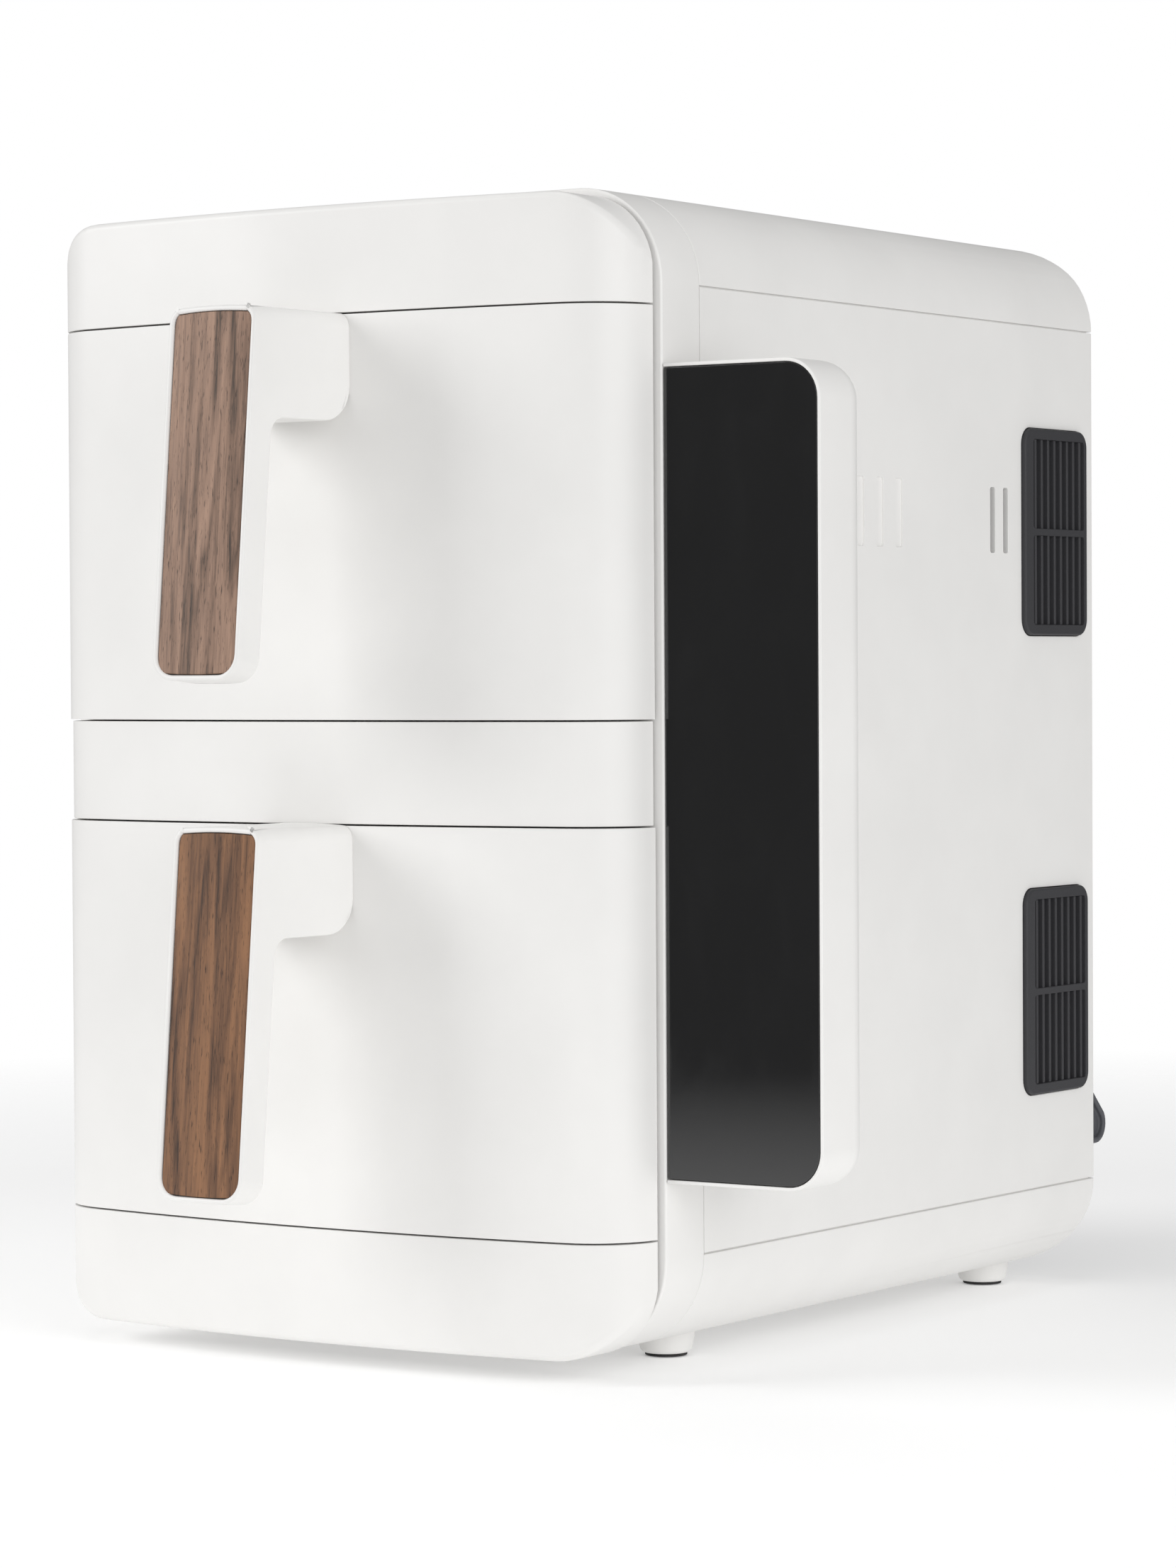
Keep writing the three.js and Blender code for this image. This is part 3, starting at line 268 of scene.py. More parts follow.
@dataclass(frozen=True)
class DarkGlass(Finish):
    """Tinted glass with a print behind it, lightly touched."""

    colour: Colour = tone(11, 11, 12)
    touched: Colour = tone(14, 14, 15)

    def mix_paint(self, sheet: Sheet) -> bpy.types.Material:
        """A hard gloss with faint smears."""
        smear = sheet.noise(17, 4, (1, 1, 0.45), 0.6)
        gloss = sheet.spread(smear, (0.45, 0.75), (0.05, 0.115))
        return sheet.surface(
            Base_Color=sheet.mix(sheet.spread(smear, MOST, WHOLE), self.colour, self.touched),
            Roughness=gloss,
            Specular_IOR_Level=1.0,
            Coat_Weight=sheet.spread(smear, MOST, (0.06, 0.12)),
            Coat_Roughness=0.04,
        )


@dataclass(frozen=True)
class Walnut(Finish):
    """Oiled walnut with upright grain: growth bands, streaks and short pores."""

    light: Colour
    middle: Colour
    dark: Colour

    def mix_paint(self, sheet: Sheet) -> bpy.types.Material:
        """Bands that wander, fine fibres and dark pores."""
        bands = sheet.noise(5.2, 3, (1, 0.4, 0.045), 1.1)
        fibres = sheet.noise(0.75, 4, (1, 0.5, 0.03), 0.4)
        pores = sheet.noise(0.42, 2, (1, 1, 0.05))
        tint = sheet.noise(16, 2, (1, 0.5, 0.25))
        figure = bands * 0.62 + fibres * 0.3 + tint * 0.14
        stops = (
            (0.36, self.dark),
            (0.47, self.middle),
            (0.55, tuple((a + b) / 2 for a, b in zip(self.middle, self.light))),
            (0.66, self.light),
        )
        colour = sheet.ramp(figure, *stops)
        pitted = sheet.spread(pores, (0.60, 0.72), (0, 0.75))
        deep = tuple(channel * 0.42 for channel in self.dark)
        return sheet.surface(
            Base_Color=sheet.mix(pitted, colour, deep),
            Roughness=sheet.spread(fibres, MOST, (0.5, 0.62)),
            Specular_IOR_Level=0.4,
            Normal=sheet.bump(fibres * 0.6 - pitted * 0.8, 0.05, 0.6),
        )


@dataclass(frozen=True)
class Metal(Finish):
    """Sheet or turned metal, brushed along one axis, with faint stains.

    brushed gives how much the noise is drawn out along x, y and z.
    """

    colour: Colour
    roughness: float = 0.3
    brushed: Point = (1, 1, 1)
    stain: Colour = (0.3, 0.26, 0.2)
    stained: float = 0.25

    def mix_paint(self, sheet: Sheet) -> bpy.types.Material:
        """Brush lines in the gloss and the bump, and clouds of stain."""
        lines = sheet.noise(0.5, 3, self.brushed)
        cloud = sheet.spread(sheet.noise(24, 4, (1, 1, 1), 0.8), (0.48, 0.8), (0, self.stained))
        return sheet.surface(
            Base_Color=sheet.mix(cloud, self.colour, self.stain),
            Metallic=sheet.spread(cloud, WHOLE, (1.0, 0.8)),
            Roughness=sheet.spread(lines, ALL, (self.roughness - 0.07, self.roughness + 0.1)),
            Normal=sheet.bump(lines, 0.02, 0.5),
        )


@dataclass(frozen=True)
class Coated(Finish):
    """A baked non-stick coating, with a fine orange peel and pale flecks."""

    colour: Colour = tone(43, 43, 45)
    fleck: Colour = tone(92, 92, 95)

    def mix_paint(self, sheet: Sheet) -> bpy.types.Material:
        """Flecks in the colour and peel in the bump."""
        flecks = sheet.spread(sheet.noise(0.8, 1), (0.66, 0.72), (0, 0.6))
        peel = sheet.noise(1.7, 2)
        return sheet.surface(
            Base_Color=sheet.mix(flecks, self.colour, self.fleck),
            Roughness=sheet.spread(peel, MOST, (0.36, 0.47)),
            Metallic=0.15,
            Normal=sheet.bump(peel, 0.03, 0.7),
        )


@dataclass(frozen=True)
class Rubbery(Finish):
    """Rubber or silicone, with faint clouds of dust."""

    colour: Colour
    roughness: float = 0.8
    dusty: Colour = tone(120, 116, 110)

    def mix_paint(self, sheet: Sheet) -> bpy.types.Material:
        """A matt skin with fine speckle."""
        speckle = sheet.noise(0.6, 3)
        dust = sheet.spread(sheet.noise(9, 3), (0.45, 0.8), (0, 0.22))
        return sheet.surface(
            Base_Color=sheet.mix(dust, self.colour, self.dusty),
            Roughness=sheet.spread(speckle, MOST, (self.roughness - 0.06, self.roughness + 0.06)),
            Normal=sheet.bump(speckle, 0.03, 0.8),
        )


@dataclass(frozen=True)
class Board(Finish):
    """A circuit board's lacquer with copper tracks showing through."""

    colour: Colour = tone(24, 84, 52)
    track: Colour = tone(52, 128, 74)
    cell: float = 5.5

    def mix_paint(self, sheet: Sheet) -> bpy.types.Material:
        """Square-cornered tracks from a stepped cell pattern."""
        cells = sheet.node(
            "ShaderNodeTexVoronoi",
            {"distance": "CHEBYCHEV", "feature": "F1"},
            {"Vector": sheet.spot(), "Scale": 1 / (self.cell * MM), "Randomness": 0.55},
            "Distance",
        )
        tracks = sheet.spread(cells.math("PINGPONG", 0.085), (0.05, 0.056), WHOLE)
        weave = sheet.noise(0.9, 1)
        return sheet.surface(
            Base_Color=sheet.mix(tracks, self.colour, self.track),
            Roughness=sheet.spread(weave, MOST, (0.34, 0.44)),
            Normal=sheet.bump(tracks, 0.03, 0.7),
        )


WHITE = Moulded("satin_white", Slot.WHITE, tone(240, 239, 237), 0.4)
CHARCOAL = Moulded("matt_charcoal", Slot.CHARCOAL, tone(59, 59, 62), 0.58, 0.5, 0.03, 0.4)
GLASS = DarkGlass("dark_glass", Slot.GLASS)
WALNUT_GREY = Walnut("grey_walnut", Slot.WOOD, tone(170, 138, 118), tone(126, 100, 84), tone(66, 54, 46))
WALNUT_RED = Walnut("red_walnut", Slot.WOOD, tone(148, 106, 74), tone(108, 76, 54), tone(54, 38, 29))
GREY = Moulded("grey_plastic", Slot.GREY, tone(82, 83, 88), 0.5, 0.45, 0.02)
RUBBER = Rubbery("black_rubber", Slot.RUBBER, tone(32, 32, 33))
SILICONE = Rubbery("grey_silicone", Slot.RUBBER, tone(74, 74, 78), 0.6)
NON_STICK = Coated("non_stick", Slot.COATED)
LINER_STEEL = Metal("liner_steel", Slot.STEEL, tone(190, 190, 188), 0.34, (1, 0.04, 1))
SHEET_STEEL = Metal("galvanised_sheet", Slot.STEEL, tone(176, 180, 182), 0.42, (0.3, 1, 0.3), stained=0.35)
TURNED_STEEL = Metal("turned_steel", Slot.DARK_STEEL, tone(150, 150, 152), 0.28, (1, 0.1, 1))
HOT_STEEL = Metal(
    "heat_toned_steel", Slot.DARK_STEEL, tone(96, 90, 88), 0.38, stain=tone(104, 78, 70), stained=0.6
)
MOTOR_STEEL = Metal("motor_steel", Slot.DARK_STEEL, tone(108, 110, 114), 0.4)
LACQUER = Board("green_lacquer", Slot.BOARD)
CHIP = Moulded("chip_black", Slot.BOARD, tone(34, 34, 36), 0.5, 0.3, 0.01)
BRASS = Metal("brass", Slot.BOARD, tone(196, 164, 98), 0.32)


# ---- bench tools


class Kind(Enum):
    """What is selected in edit mode."""

    EDGE = "edges"
    FACE = "faces"


class Axis(Enum):
    """An axis, and how a flat drawing square to it lies in space."""

    X = (1, 0, 0)
    Y = (0, 1, 0)
    Z = (0, 0, 1)

    def lift(self, spot: Flat, level: float) -> Vector:
        """A drawn point as a point in space, level along the axis."""
        across, up = spot
        if self is Axis.X:
            return Vector((level, across, up))
        if self is Axis.Y:
            return Vector((across, level, up))
        return Vector((across, up, level))

    @property
    def hand(self) -> int:
        """1 where a turn that is anticlockwise in the drawing is so about the axis too."""
        return -1 if self is Axis.Y else 1


def middle(part: Union[bmesh.types.BMEdge, bmesh.types.BMFace]) -> Vector:
    """Middle of an edge's or a face's corners."""
    return sum((v.co for v in part.verts), Vector()) / len(part.verts)


def run(edge: bmesh.types.BMEdge) -> Vector:
    """An edge's direction."""
    return (edge.verts[1].co - edge.verts[0].co).normalized()


def facing(way: Sequence[float], share: float = 0.99) -> Test:
    """A test for faces that look that way."""
    towards = Vector(way).normalized()
    return lambda face: face.normal.dot(towards) > share


def along(way: Sequence[float], share: float = 0.99) -> Test:
    """A test for edges that run that way."""
    towards = Vector(way).normalized()
    return lambda edge: abs(run(edge).dot(towards)) > share


def beyond(axis: Axis, level: float, above: bool = True) -> Test:
    """A test for parts whose corners all lie above a level, or all below it."""
    place = axis.value.index(1)
    if above:
        return lambda part: all(v.co[place] > level for v in part.verts)
    return lambda part: all(v.co[place] < level for v in part.verts)


def centred(axis: Axis, level: float, above: bool = True) -> Test:
    """A test for parts whose middle lies above a level, or below it."""
    place = axis.value.index(1)
    if above:
        return lambda part: middle(part)[place] > level
    return lambda part: middle(part)[place] < level


def every(*tests: Test) -> Test:
    """A test for what passes all the tests."""
    return lambda part: all(test(part) for test in tests)


class Work:
    """One mesh being modelled on the bench, in millimetres."""

    def __init__(self, thing: bpy.types.Object) -> None:
        """Takes hold of an object."""
        self.thing = thing

    @classmethod
    def taken(cls) -> "Work":
        """The primitive just added, with its size and place applied."""
        bpy.ops.object.transform_apply(location=True, rotation=True, scale=True)
        return cls(bpy.context.active_object)

    @classmethod
    def block(cls, x: Flat, y: Flat, z: Flat) -> "Work":
        """A block between two values on each axis."""
        bpy.ops.object.select_all(action="DESELECT")
        place = [sum(pair) / 2 for pair in (x, y, z)]
        size = [abs(pair[1] - pair[0]) for pair in (x, y, z)]
        bpy.ops.mesh.primitive_cube_add(size=1, location=place, scale=size)
        return cls.taken()

    @classmethod
    def rod(cls, radius: float, axis: Axis, spot: Flat, ends: Flat, sides: int = 32) -> "Work":
        """A round bar square to a drawing's plane, through a point of it, between two levels."""
        bpy.ops.object.select_all(action="DESELECT")
        turn = {Axis.X: (0, math.pi / 2, 0), Axis.Y: (math.pi / 2, 0, 0), Axis.Z: (0, 0, 0)}[axis]
        bpy.ops.mesh.primitive_cylinder_add(
            vertices=sides,
            radius=radius,
            depth=abs(ends[1] - ends[0]),
            location=axis.lift(spot, sum(ends) / 2),
            rotation=turn,
        )
        return cls.taken()

    def hold(self) -> None:
        """Selects this object alone and makes it active."""
        bpy.ops.object.select_all(action="DESELECT")
        self.thing.select_set(True)
        bpy.context.view_layer.objects.active = self.thing

    @contextmanager
    def edit(self, kind: Kind = Kind.FACE, test: Optional[Test] = None) -> Iterator[None]:
        """Edit mode, with what passes the test selected, or everything.

        Args:
            kind: what is tested.
            test: what a selected part passes.
        """
        self.hold()
        bpy.ops.object.mode_set(mode="EDIT")
        bpy.ops.mesh.select_mode(type=kind.name)
        bpy.ops.mesh.select_all(action="DESELECT" if test else "SELECT")
        if test:
            mesh = bmesh.from_edit_mesh(self.thing.data)
            for part in list(getattr(mesh, kind.value)):
                if test(part):
                    part.select_set(True)
            bmesh.update_edit_mesh(self.thing.data)
        yield
        bpy.ops.object.mode_set(mode="OBJECT")

    def round_edges(self, test: Test, radius: float, steps: int = 4) -> "Work":
        """Rounds the edges that pass a test."""
        with self.edit(Kind.EDGE, test):
            bpy.ops.mesh.bevel(offset=radius, segments=steps, affect="EDGES", clamp_overlap=False)
        return self

    def soften(self, radius: float, steps: int = 2, angle: float = 35) -> "Work":
        """Rounds every edge sharper than an angle, with a Bevel modifier."""
        settings = {
            "width": radius,
            "segments": steps,
            "limit_method": "ANGLE",
            "angle_limit": math.radians(angle),
            "use_clamp_overlap": False,
            "miter_outer": "MITER_ARC",
        }
        return self.modify("BEVEL", settings)

    def modify(self, kind: str, settings: dict) -> "Work":
        """Adds a modifier, sets it and applies it."""
        self.hold()
        bpy.ops.object.modifier_add(type=kind)
        modifier = self.thing.modifiers[-1]
        for key, value in settings.items():
            setattr(modifier, key, value)
        bpy.ops.object.modifier_apply(modifier=modifier.name)
        return self

    def _against(self, operation: str, others: Iterable["Work"]) -> "Work":
        """Applies a boolean with each of the others, which are used up."""
        for other in others:
            settings = {"operation": operation, "solver": "EXACT", "object": other.thing}
            self.modify("BOOLEAN", settings)
            bpy.data.objects.remove(other.thing)
        return self

    def cut(self, *tools: "Work") -> "Work":
        """Cuts tools out of this piece."""
        return self._against("DIFFERENCE", tools)

    def keep(self, *tools: "Work") -> "Work":
        """Keeps what lies inside every tool."""
        return self._against("INTERSECT", tools)

    def fuse(self, *others: "Work") -> "Work":
        """Joins other solids into this one, without their inner walls."""
        return self._against("UNION", others)

    def join(self, *others: "Work") -> "Work":
        """Joins other meshes to this one as they are."""
        self.hold()
        for other in others:
            other.thing.select_set(True)
        if others:
            bpy.ops.object.join()
        return self

    def clip(self, axis: Axis, level: float, above: bool) -> "Work":
        """Cuts away what lies above or below a level, and closes the cut."""
        with self.edit():
            bpy.ops.mesh.bisect(
                plane_co=tuple(level * c for c in axis.value),
                plane_no=axis.value,
                use_fill=True,
                clear_outer=above,
                clear_inner=not above,
                threshold=SLICED,
            )
        return self

    def band(self, axis: Axis, low: float, high: float) -> "Work":
        """Keeps what lies between two levels."""
        return self.clip(axis, low, False).clip(axis, high, True)

    def twin(self) -> "Work":
        """A copy with its own mesh."""
        self.hold()
        bpy.ops.object.duplicate(linked=False)
        return Work(bpy.context.active_object)

    def pose(self, matrix: Matrix) -> "Work":
        """Moves the mesh by a matrix, and turns it the right way out if that mirrors it."""
        self.hold()
        self.thing.matrix_world = matrix
        bpy.ops.object.transform_apply(location=True, rotation=True, scale=True)
        return self.outward() if matrix.determinant() < 0 else self

    def move(self, x: float = 0, y: float = 0, z: float = 0) -> "Work":
        """Moves the piece."""
        return self.pose(Matrix.Translation((x, y, z)))

    def turn(self, degrees: float, axis: Axis, centre: Point = (0, 0, 0)) -> "Work":
        """Turns the piece about a line along an axis through a point."""
        away = Matrix.Translation(centre)
        swing = Matrix.Rotation(math.radians(degrees), 4, Vector(axis.value))
        return self.pose(away @ swing @ away.inverted())

    def flip(self) -> "Work":
        """Mirrors the piece across x = 0."""
        return self.pose(Matrix.Scale(-1, 4, Vector((1, 0, 0))))

    def outward(self) -> "Work":
        """Merges doubled corners and turns every face outward."""
        with self.edit():
            bpy.ops.mesh.remove_doubles(threshold=MERGED)
            bpy.ops.mesh.normals_make_consistent(inside=False)
        return self

    def ringed(self, count: int, axis: Axis, centre: Point) -> "Work":
        """Repeats the piece in a ring about a line."""
        copies = [self.twin().turn(360 * i / count, axis, centre) for i in range(1, count)]
        return self.join(*copies)

    def repeated(self, places: Iterable[Point]) -> "Work":
        """Copies of the piece moved to each place. The original is used up."""
        copies = [self.twin().move(*place) for place in places]
        bpy.data.objects.remove(self.thing)
        return joined(copies)

    def sink(self, test: Test, rim: float, depth: float) -> "Work":
        """Insets the faces that pass a test and pushes them in, square to themselves."""
        with self.edit(Kind.FACE, test):
            bpy.ops.mesh.inset(thickness=rim, use_even_offset=True)
            bpy.ops.mesh.extrude_region_shrink_fatten(TRANSFORM_OT_shrink_fatten={"value": depth})
        return self


class Pen:
    """Draws an outline in one plane by extruding and spinning a single corner."""

    def __init__(self, axis: Axis, start: Flat, level: float = 0) -> None:
        """Puts the pen down.

        Args:
            axis: the drawing plane's normal.
            start: the first point, as drawn.
            level: the plane's place along its normal.
        """
        self.axis = axis
        self.level = level
        self.tip = start
        bpy.ops.object.select_all(action="DESELECT")
        bpy.ops.mesh.primitive_plane_add(size=0.1, location=axis.lift(start, level))
        self.work = Work.taken()
        bpy.ops.object.mode_set(mode="EDIT")
        bpy.ops.mesh.select_mode(type="VERT")
        bpy.ops.mesh.select_all(action="SELECT")
        bpy.ops.mesh.merge(type="COLLAPSE")

    def line(self, *points: Flat) -> "Pen":
        """Draws straight strokes."""
        for point in points:
            step = self.axis.lift(point, 0) - self.axis.lift(self.tip, 0)
            bpy.ops.mesh.extrude_region_move(TRANSFORM_OT_translate={"value": step})
            self.tip = point
        return self

    def arc(self, centre: Flat, degrees: float, steps: int = 8) -> "Pen":
        """Draws a round stroke, anticlockwise where degrees is positive."""
        bpy.ops.mesh.spin(
            steps=steps,
            angle=-math.radians(degrees) * self.axis.hand,
            center=self.axis.lift(centre, self.level),
            axis=self.axis.value,
        )
        turn = math.radians(degrees)
        across, up = self.tip[0] - centre[0], self.tip[1] - centre[1]
        self.tip = (
            centre[0] + across * math.cos(turn) - up * math.sin(turn),
            centre[1] + across * math.sin(turn) + up * math.cos(turn),
        )
        return self

    def oval(self, centre: Flat, radii: Flat, start: float, sweep: float, steps: int = 10) -> "Pen":
        """Draws part of an ellipse, from an angle and through a sweep in degrees."""
        angles = [math.radians(start + sweep * i / steps) for i in range(1, steps + 1)]
        (across, up), (wide, high) = centre, radii
        return self.line(*((across + wide * math.cos(a), up + high * math.sin(a)) for a in angles))

    def prism(self, depth: float) -> Work:
        """Closes the outline and gives it a depth along the normal."""
        bpy.ops.mesh.select_all(action="SELECT")
        bpy.ops.mesh.remove_doubles(threshold=MERGED)
        bpy.ops.mesh.select_all(action="SELECT")
        bpy.ops.mesh.edge_face_add()
        self._raise(depth)
        return self.work.outward()

    def _raise(self, depth: float) -> None:
        """Gives what is drawn a depth along the normal."""
        way = tuple(depth * c for c in self.axis.value)
        bpy.ops.mesh.extrude_region_move(TRANSFORM_OT_translate={"value": way})
        bpy.ops.object.mode_set(mode="OBJECT")

    def open_wall(self, depth: float, thickness: float) -> Work:
        """Gives the open stroke a depth along the normal, and the sheet a thickness on both sides."""
        bpy.ops.mesh.select_all(action="SELECT")
        self._raise(depth)
        self.work.modify("SOLIDIFY", {"thickness": thickness, "offset": 0, "use_even_offset": True})
        return self.work.outward()

    def lathe(self, about: Axis, centre: Point, steps: int = 48) -> Work:
        """Turns the stroke all the way about a line, and merges the seam and poles."""
        bpy.ops.mesh.select_all(action="SELECT")
        bpy.ops.mesh.spin(steps=steps, angle=2 * math.pi, center=centre, axis=about.value)
        bpy.ops.object.mode_set(mode="OBJECT")
        return self.work.outward()


def joined(pieces: Sequence[Work]) -> Work:
    """The pieces as one mesh."""
    return pieces[0].join(*pieces[1:])


def outside_of(x: float) -> Test:
    """A test for front-to-back edges to the right of x."""
    return every(along(Axis.Y.value), centred(Axis.X, x))


def rounded_bar(axis: Axis, spot: Flat, size: Flat, radius: float, ends: Flat, steps: int = 6) -> Work:
    """A bar of rounded rectangular section.

    Args:
        axis: the bar's own axis.
        spot: the section's middle, as drawn square to the axis.
        size: the section's width and height.
        radius: its corner radius.
        ends: where the bar starts and ends along the axis.
        steps: facets in each corner.

    Returns:
        The bar.
    """
    first = (spot[0] - size[0] / 2, spot[0] + size[0] / 2)
    second = (spot[1] - size[1] / 2, spot[1] + size[1] / 2)
    spans = [first, second]
    spans.insert(axis.value.index(1), ends)
    return Work.block(*spans).round_edges(along(axis.value), radius, steps)


def bench_origin() -> Vector:
    """Where the bench's zero lies in the frame."""
    cover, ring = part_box("base_cover"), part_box("front_frame")
    return Vector(((cover[0].x + cover[1].x) / 2, ring[0].y - RingFrame.front * MM, 0))


class Maker:
    """A sub-assembly's maker: it models pieces and sets them down in the frame.

    smooth is the angle in degrees up to which two faces shade as one surface.
    """

    body = "housing"
    smooth = 32

    def deliver(self, work: Work, name: str, finish: Finish, *nodes: str, body: str = "") -> None:
        """Sets a finished piece down in the frame.

        Args:
            work: the piece on the bench.
            name: its name.
            finish: what it is made of.
            nodes: the frame's nodes that it stands for.
            body: the body that it rides on, where it isn't the maker's own.
        """
        work.pose(Matrix.Translation(bench_origin()) @ Matrix.Scale(MM, 4))
        piece = work.thing
        piece.name = piece.data.name = name
        piece.data.materials.clear()
        piece.data.materials.append(finish.paint())
        bpy.ops.object.shade_smooth_by_angle(angle=math.radians(self.smooth))
        work.modify("WEIGHTED_NORMAL", {"keep_sharp": True, "weight": 60})
        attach(piece, body or self.body)
        if nodes:
            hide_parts(*nodes)
        log.info("%s: %d faces, on %s", name, len(piece.data.polygons), body or self.body)

    def deliver_pair(self, right: Work, name: str, finish: Finish, node: str) -> None:
        """Sets down a right-hand piece, and its mirror image on the left."""
        for side, work in (("left", right.twin().flip()), ("right", right)):
            self.deliver(work, f"{side}_{name}", finish, f"{side}_{node}")


# ---- housing


@dataclass(frozen=True)
class Hull:
    """Outer form of the rear housing, in millimetres."""

    half_width: float = 126.2
    low: float = 8
    top: float = 400
    back: float = 304.2
    corner: float = 33
    top_round: Flat = (13, 15)
    low_round: Flat = (14, 26)
    wall: float = 2.5
    top_seam: float = 367
    base_seam: float = 41
    seam: float = 0.5
    shell_front: float = 23.9

    def face(self, inset: float, ends: Flat) -> Work:
        """The housing's outline seen from the front, moved in and given a depth."""
        low, top = self.low + inset, self.top - inset
        size = (2 * (self.half_width - inset), top - low)
        return rounded_bar(Axis.Y, (0, (low + top) / 2), size, self.corner - inset, ends, 14)

    def body(self, inset: float, front: float) -> Work:
        """The whole housing as one block, moved in by inset, with its rounded rear edges."""
        back, low, top = self.back - inset, self.low + inset, self.top - inset
        high_y, high_z = (radius - inset for radius in self.top_round)
        low_y, low_z = (radius - inset for radius in self.low_round)
        reach = 150
        pen = Pen(Axis.X, (front, low), -reach).line((back - low_y, low))
        pen.oval((back - low_y, low + low_z), (low_y, low_z), -90, 90, 20)
        pen.line((back, top - high_z)).oval((back - high_y, top - high_z), (high_y, high_z), 0, 90, 20)
        side = pen.line((front, top)).prism(2 * reach)
        return self.face(inset, (front, self.back + CLEAR)).keep(side)


HULL = Hull()


@dataclass(frozen=True)
class Bow:
    """The bowed front's plan: round corners that run into one long shallow arc."""

    half_width: float = 123.7
    low: float = 8
    top: float = 397
    corner: float = 27
    plan_corner: float = 26.5
    corner_back: float = 2.15
    rise: float = 7.11
    back: float = -0.9
    crease: float = 2.4

    @property
    def corner_x(self) -> float:
        """Where the corner arcs are centred."""
        return self.half_width - self.plan_corner

    @property
    def half_angle(self) -> float:
        """Half the long arc's sweep, in radians."""
        chord_radius = (self.corner_x**2 + self.rise**2) / (2 * self.rise)
        return math.asin(self.corner_x / chord_radius)

    @property
    def radius(self) -> float:
        """The long arc's radius."""
        return self.corner_x / math.sin(self.half_angle) + self.plan_corner

    @property
    def centre_y(self) -> float:
        """The long arc's centre."""
        end = self.corner_back - self.plan_corner * math.cos(self.half_angle)
        return end + self.radius * math.cos(self.half_angle)

    @property
    def apex(self) -> float:
        """The bow's foremost place."""
        return self.centre_y - self.radius

    def block(self, inset: float, back: float) -> Work:
        """The whole front as one block that ends at y = back, moved in by inset."""
        side = self.corner_x + self.plan_corner - inset
        sweep = 90 - math.degrees(self.half_angle)
        behind = 20
        pen = Pen(Axis.Z, (-side, behind), 0).line((-side, self.corner_back))
        pen.arc((-self.corner_x, self.corner_back), sweep, 10)
        pen.arc((0, self.centre_y), 2 * math.degrees(self.half_angle), 28)
        pen.arc((self.corner_x, self.corner_back), sweep, 10).line((side, behind))
        plan = pen.prism(self.top + 2 * CLEAR)
        low, top = self.low + inset, self.top - inset
        size = (2 * (self.half_width - inset), top - low)
        ends = (self.apex - 6, back)
        return rounded_bar(Axis.Y, (0, (low + top) / 2), size, self.corner - inset, ends, 12).keep(plan)


BOW = Bow()


@dataclass
class BowedFront(Maker):
    """The bands of the bowed front: three fixed fascias and the two drawer fronts' shells."""

    gap: float = 0.6
    lip: float = 0.25
    recess: float = 0.8
    spare: float = 12
    rows: dict[str, float] = field(default_factory=lambda: {"lower": 47.7, "upper": 221.4})
    height: float = 138.3

    def softened(self, inset: float) -> Work:
        """The whole front as one block, moved in by inset, with its crease softened all round.

        It is made longer and then clipped, so that its flat back keeps sharp edges.
        """
        block = BOW.block(inset, BOW.back + self.spare).soften(BOW.crease, 4, 30)
        return block.clip(Axis.Y, BOW.back, True)

    def band(self, whole: Work, low: float, high: float, inset: float) -> Work:
        """One hollow band of the front.

        Args:
            whole: the block that it is cut from, which is kept.
            low: its lower edge.
            high: its upper edge.
            inset: how far its face sits behind the others.

        Returns:
            The band, with softened gap edges and a hollow back.
        """
        piece = whole.twin().band(Axis.Z, low, high)
        rims = [level for level in (low, high) if BOW.low < level < BOW.top]
        for level in rims:
            piece.round_edges(
                lambda edge, z=level: all(abs(v.co.z - z) < HAIR for v in edge.verts)
                and not all(abs(v.co.y - BOW.back) < HAIR for v in edge.verts),
                self.lip,
                3,
            )
        inner = inset + HULL.wall
        hollow = BOW.block(inner, BOW.back + CLEAR).band(Axis.Z, low + HULL.wall, high - HULL.wall)
        return piece.cut(hollow)

    def build(self) -> None:
        """Cuts every band and sets it down."""
        half = self.gap / 2
        lower, upper = self.rows["lower"], self.rows["upper"]
        whole = self.softened(0)
        recessed = self.softened(self.recess)
        self.deliver(self.band(whole, 0, lower - half, 0), "lower_fascia_shell", WHITE, "lower_fascia")
        above = self.band(whole, upper + self.height + half, SKY, 0)
        self.deliver(above, "upper_fascia_shell", WHITE, "upper_fascia")
        between = self.band(recessed, lower + self.height + half, upper - half, self.recess)
        self.deliver(between, "middle_fascia_shell", WHITE, "middle_fascia")
        for row, base in self.rows.items():
            front = self.band(whole, base + half, base + self.height - half, 0)
            self.deliver(front, f"{row}_drawer_shell", WHITE, f"{row}_drawer_front", body=f"{row}_drawer")
        for spare in (whole, recessed):
            bpy.data.objects.remove(spare.thing)


@dataclass
class RingFrame(Maker):
    """The rounded ring round the front, with its plate and the two drawer apertures."""

    front: float = 0.3
    back: float = 23.6
    plate: float = 3.0
    edge: float = 0.9
    aperture: Flat = (202, 104)
    aperture_corner: float = 3
    aperture_rise: float = 54

    def build(self) -> None:
        """Rounds the ring, hollows it and opens the apertures."""
        ring = HULL.face(0, (self.front, self.back))
        ring.round_edges(beyond(Axis.Y, self.front + HAIR, False), self.edge, 5)
        ring.cut(HULL.face(HULL.wall, (self.front + self.plate, self.back + CLEAR)))
        through = (-CLEAR, self.front + self.plate + CLEAR)
        for base in BowedFront().rows.values():
            spot = (0, base + self.aperture_rise)
            ring.cut(rounded_bar(Axis.Y, spot, self.aperture, self.aperture_corner, through, 4))
        self.deliver(ring.soften(0.3, 2, 50), "ring_frame_shell", WHITE, "front_frame")


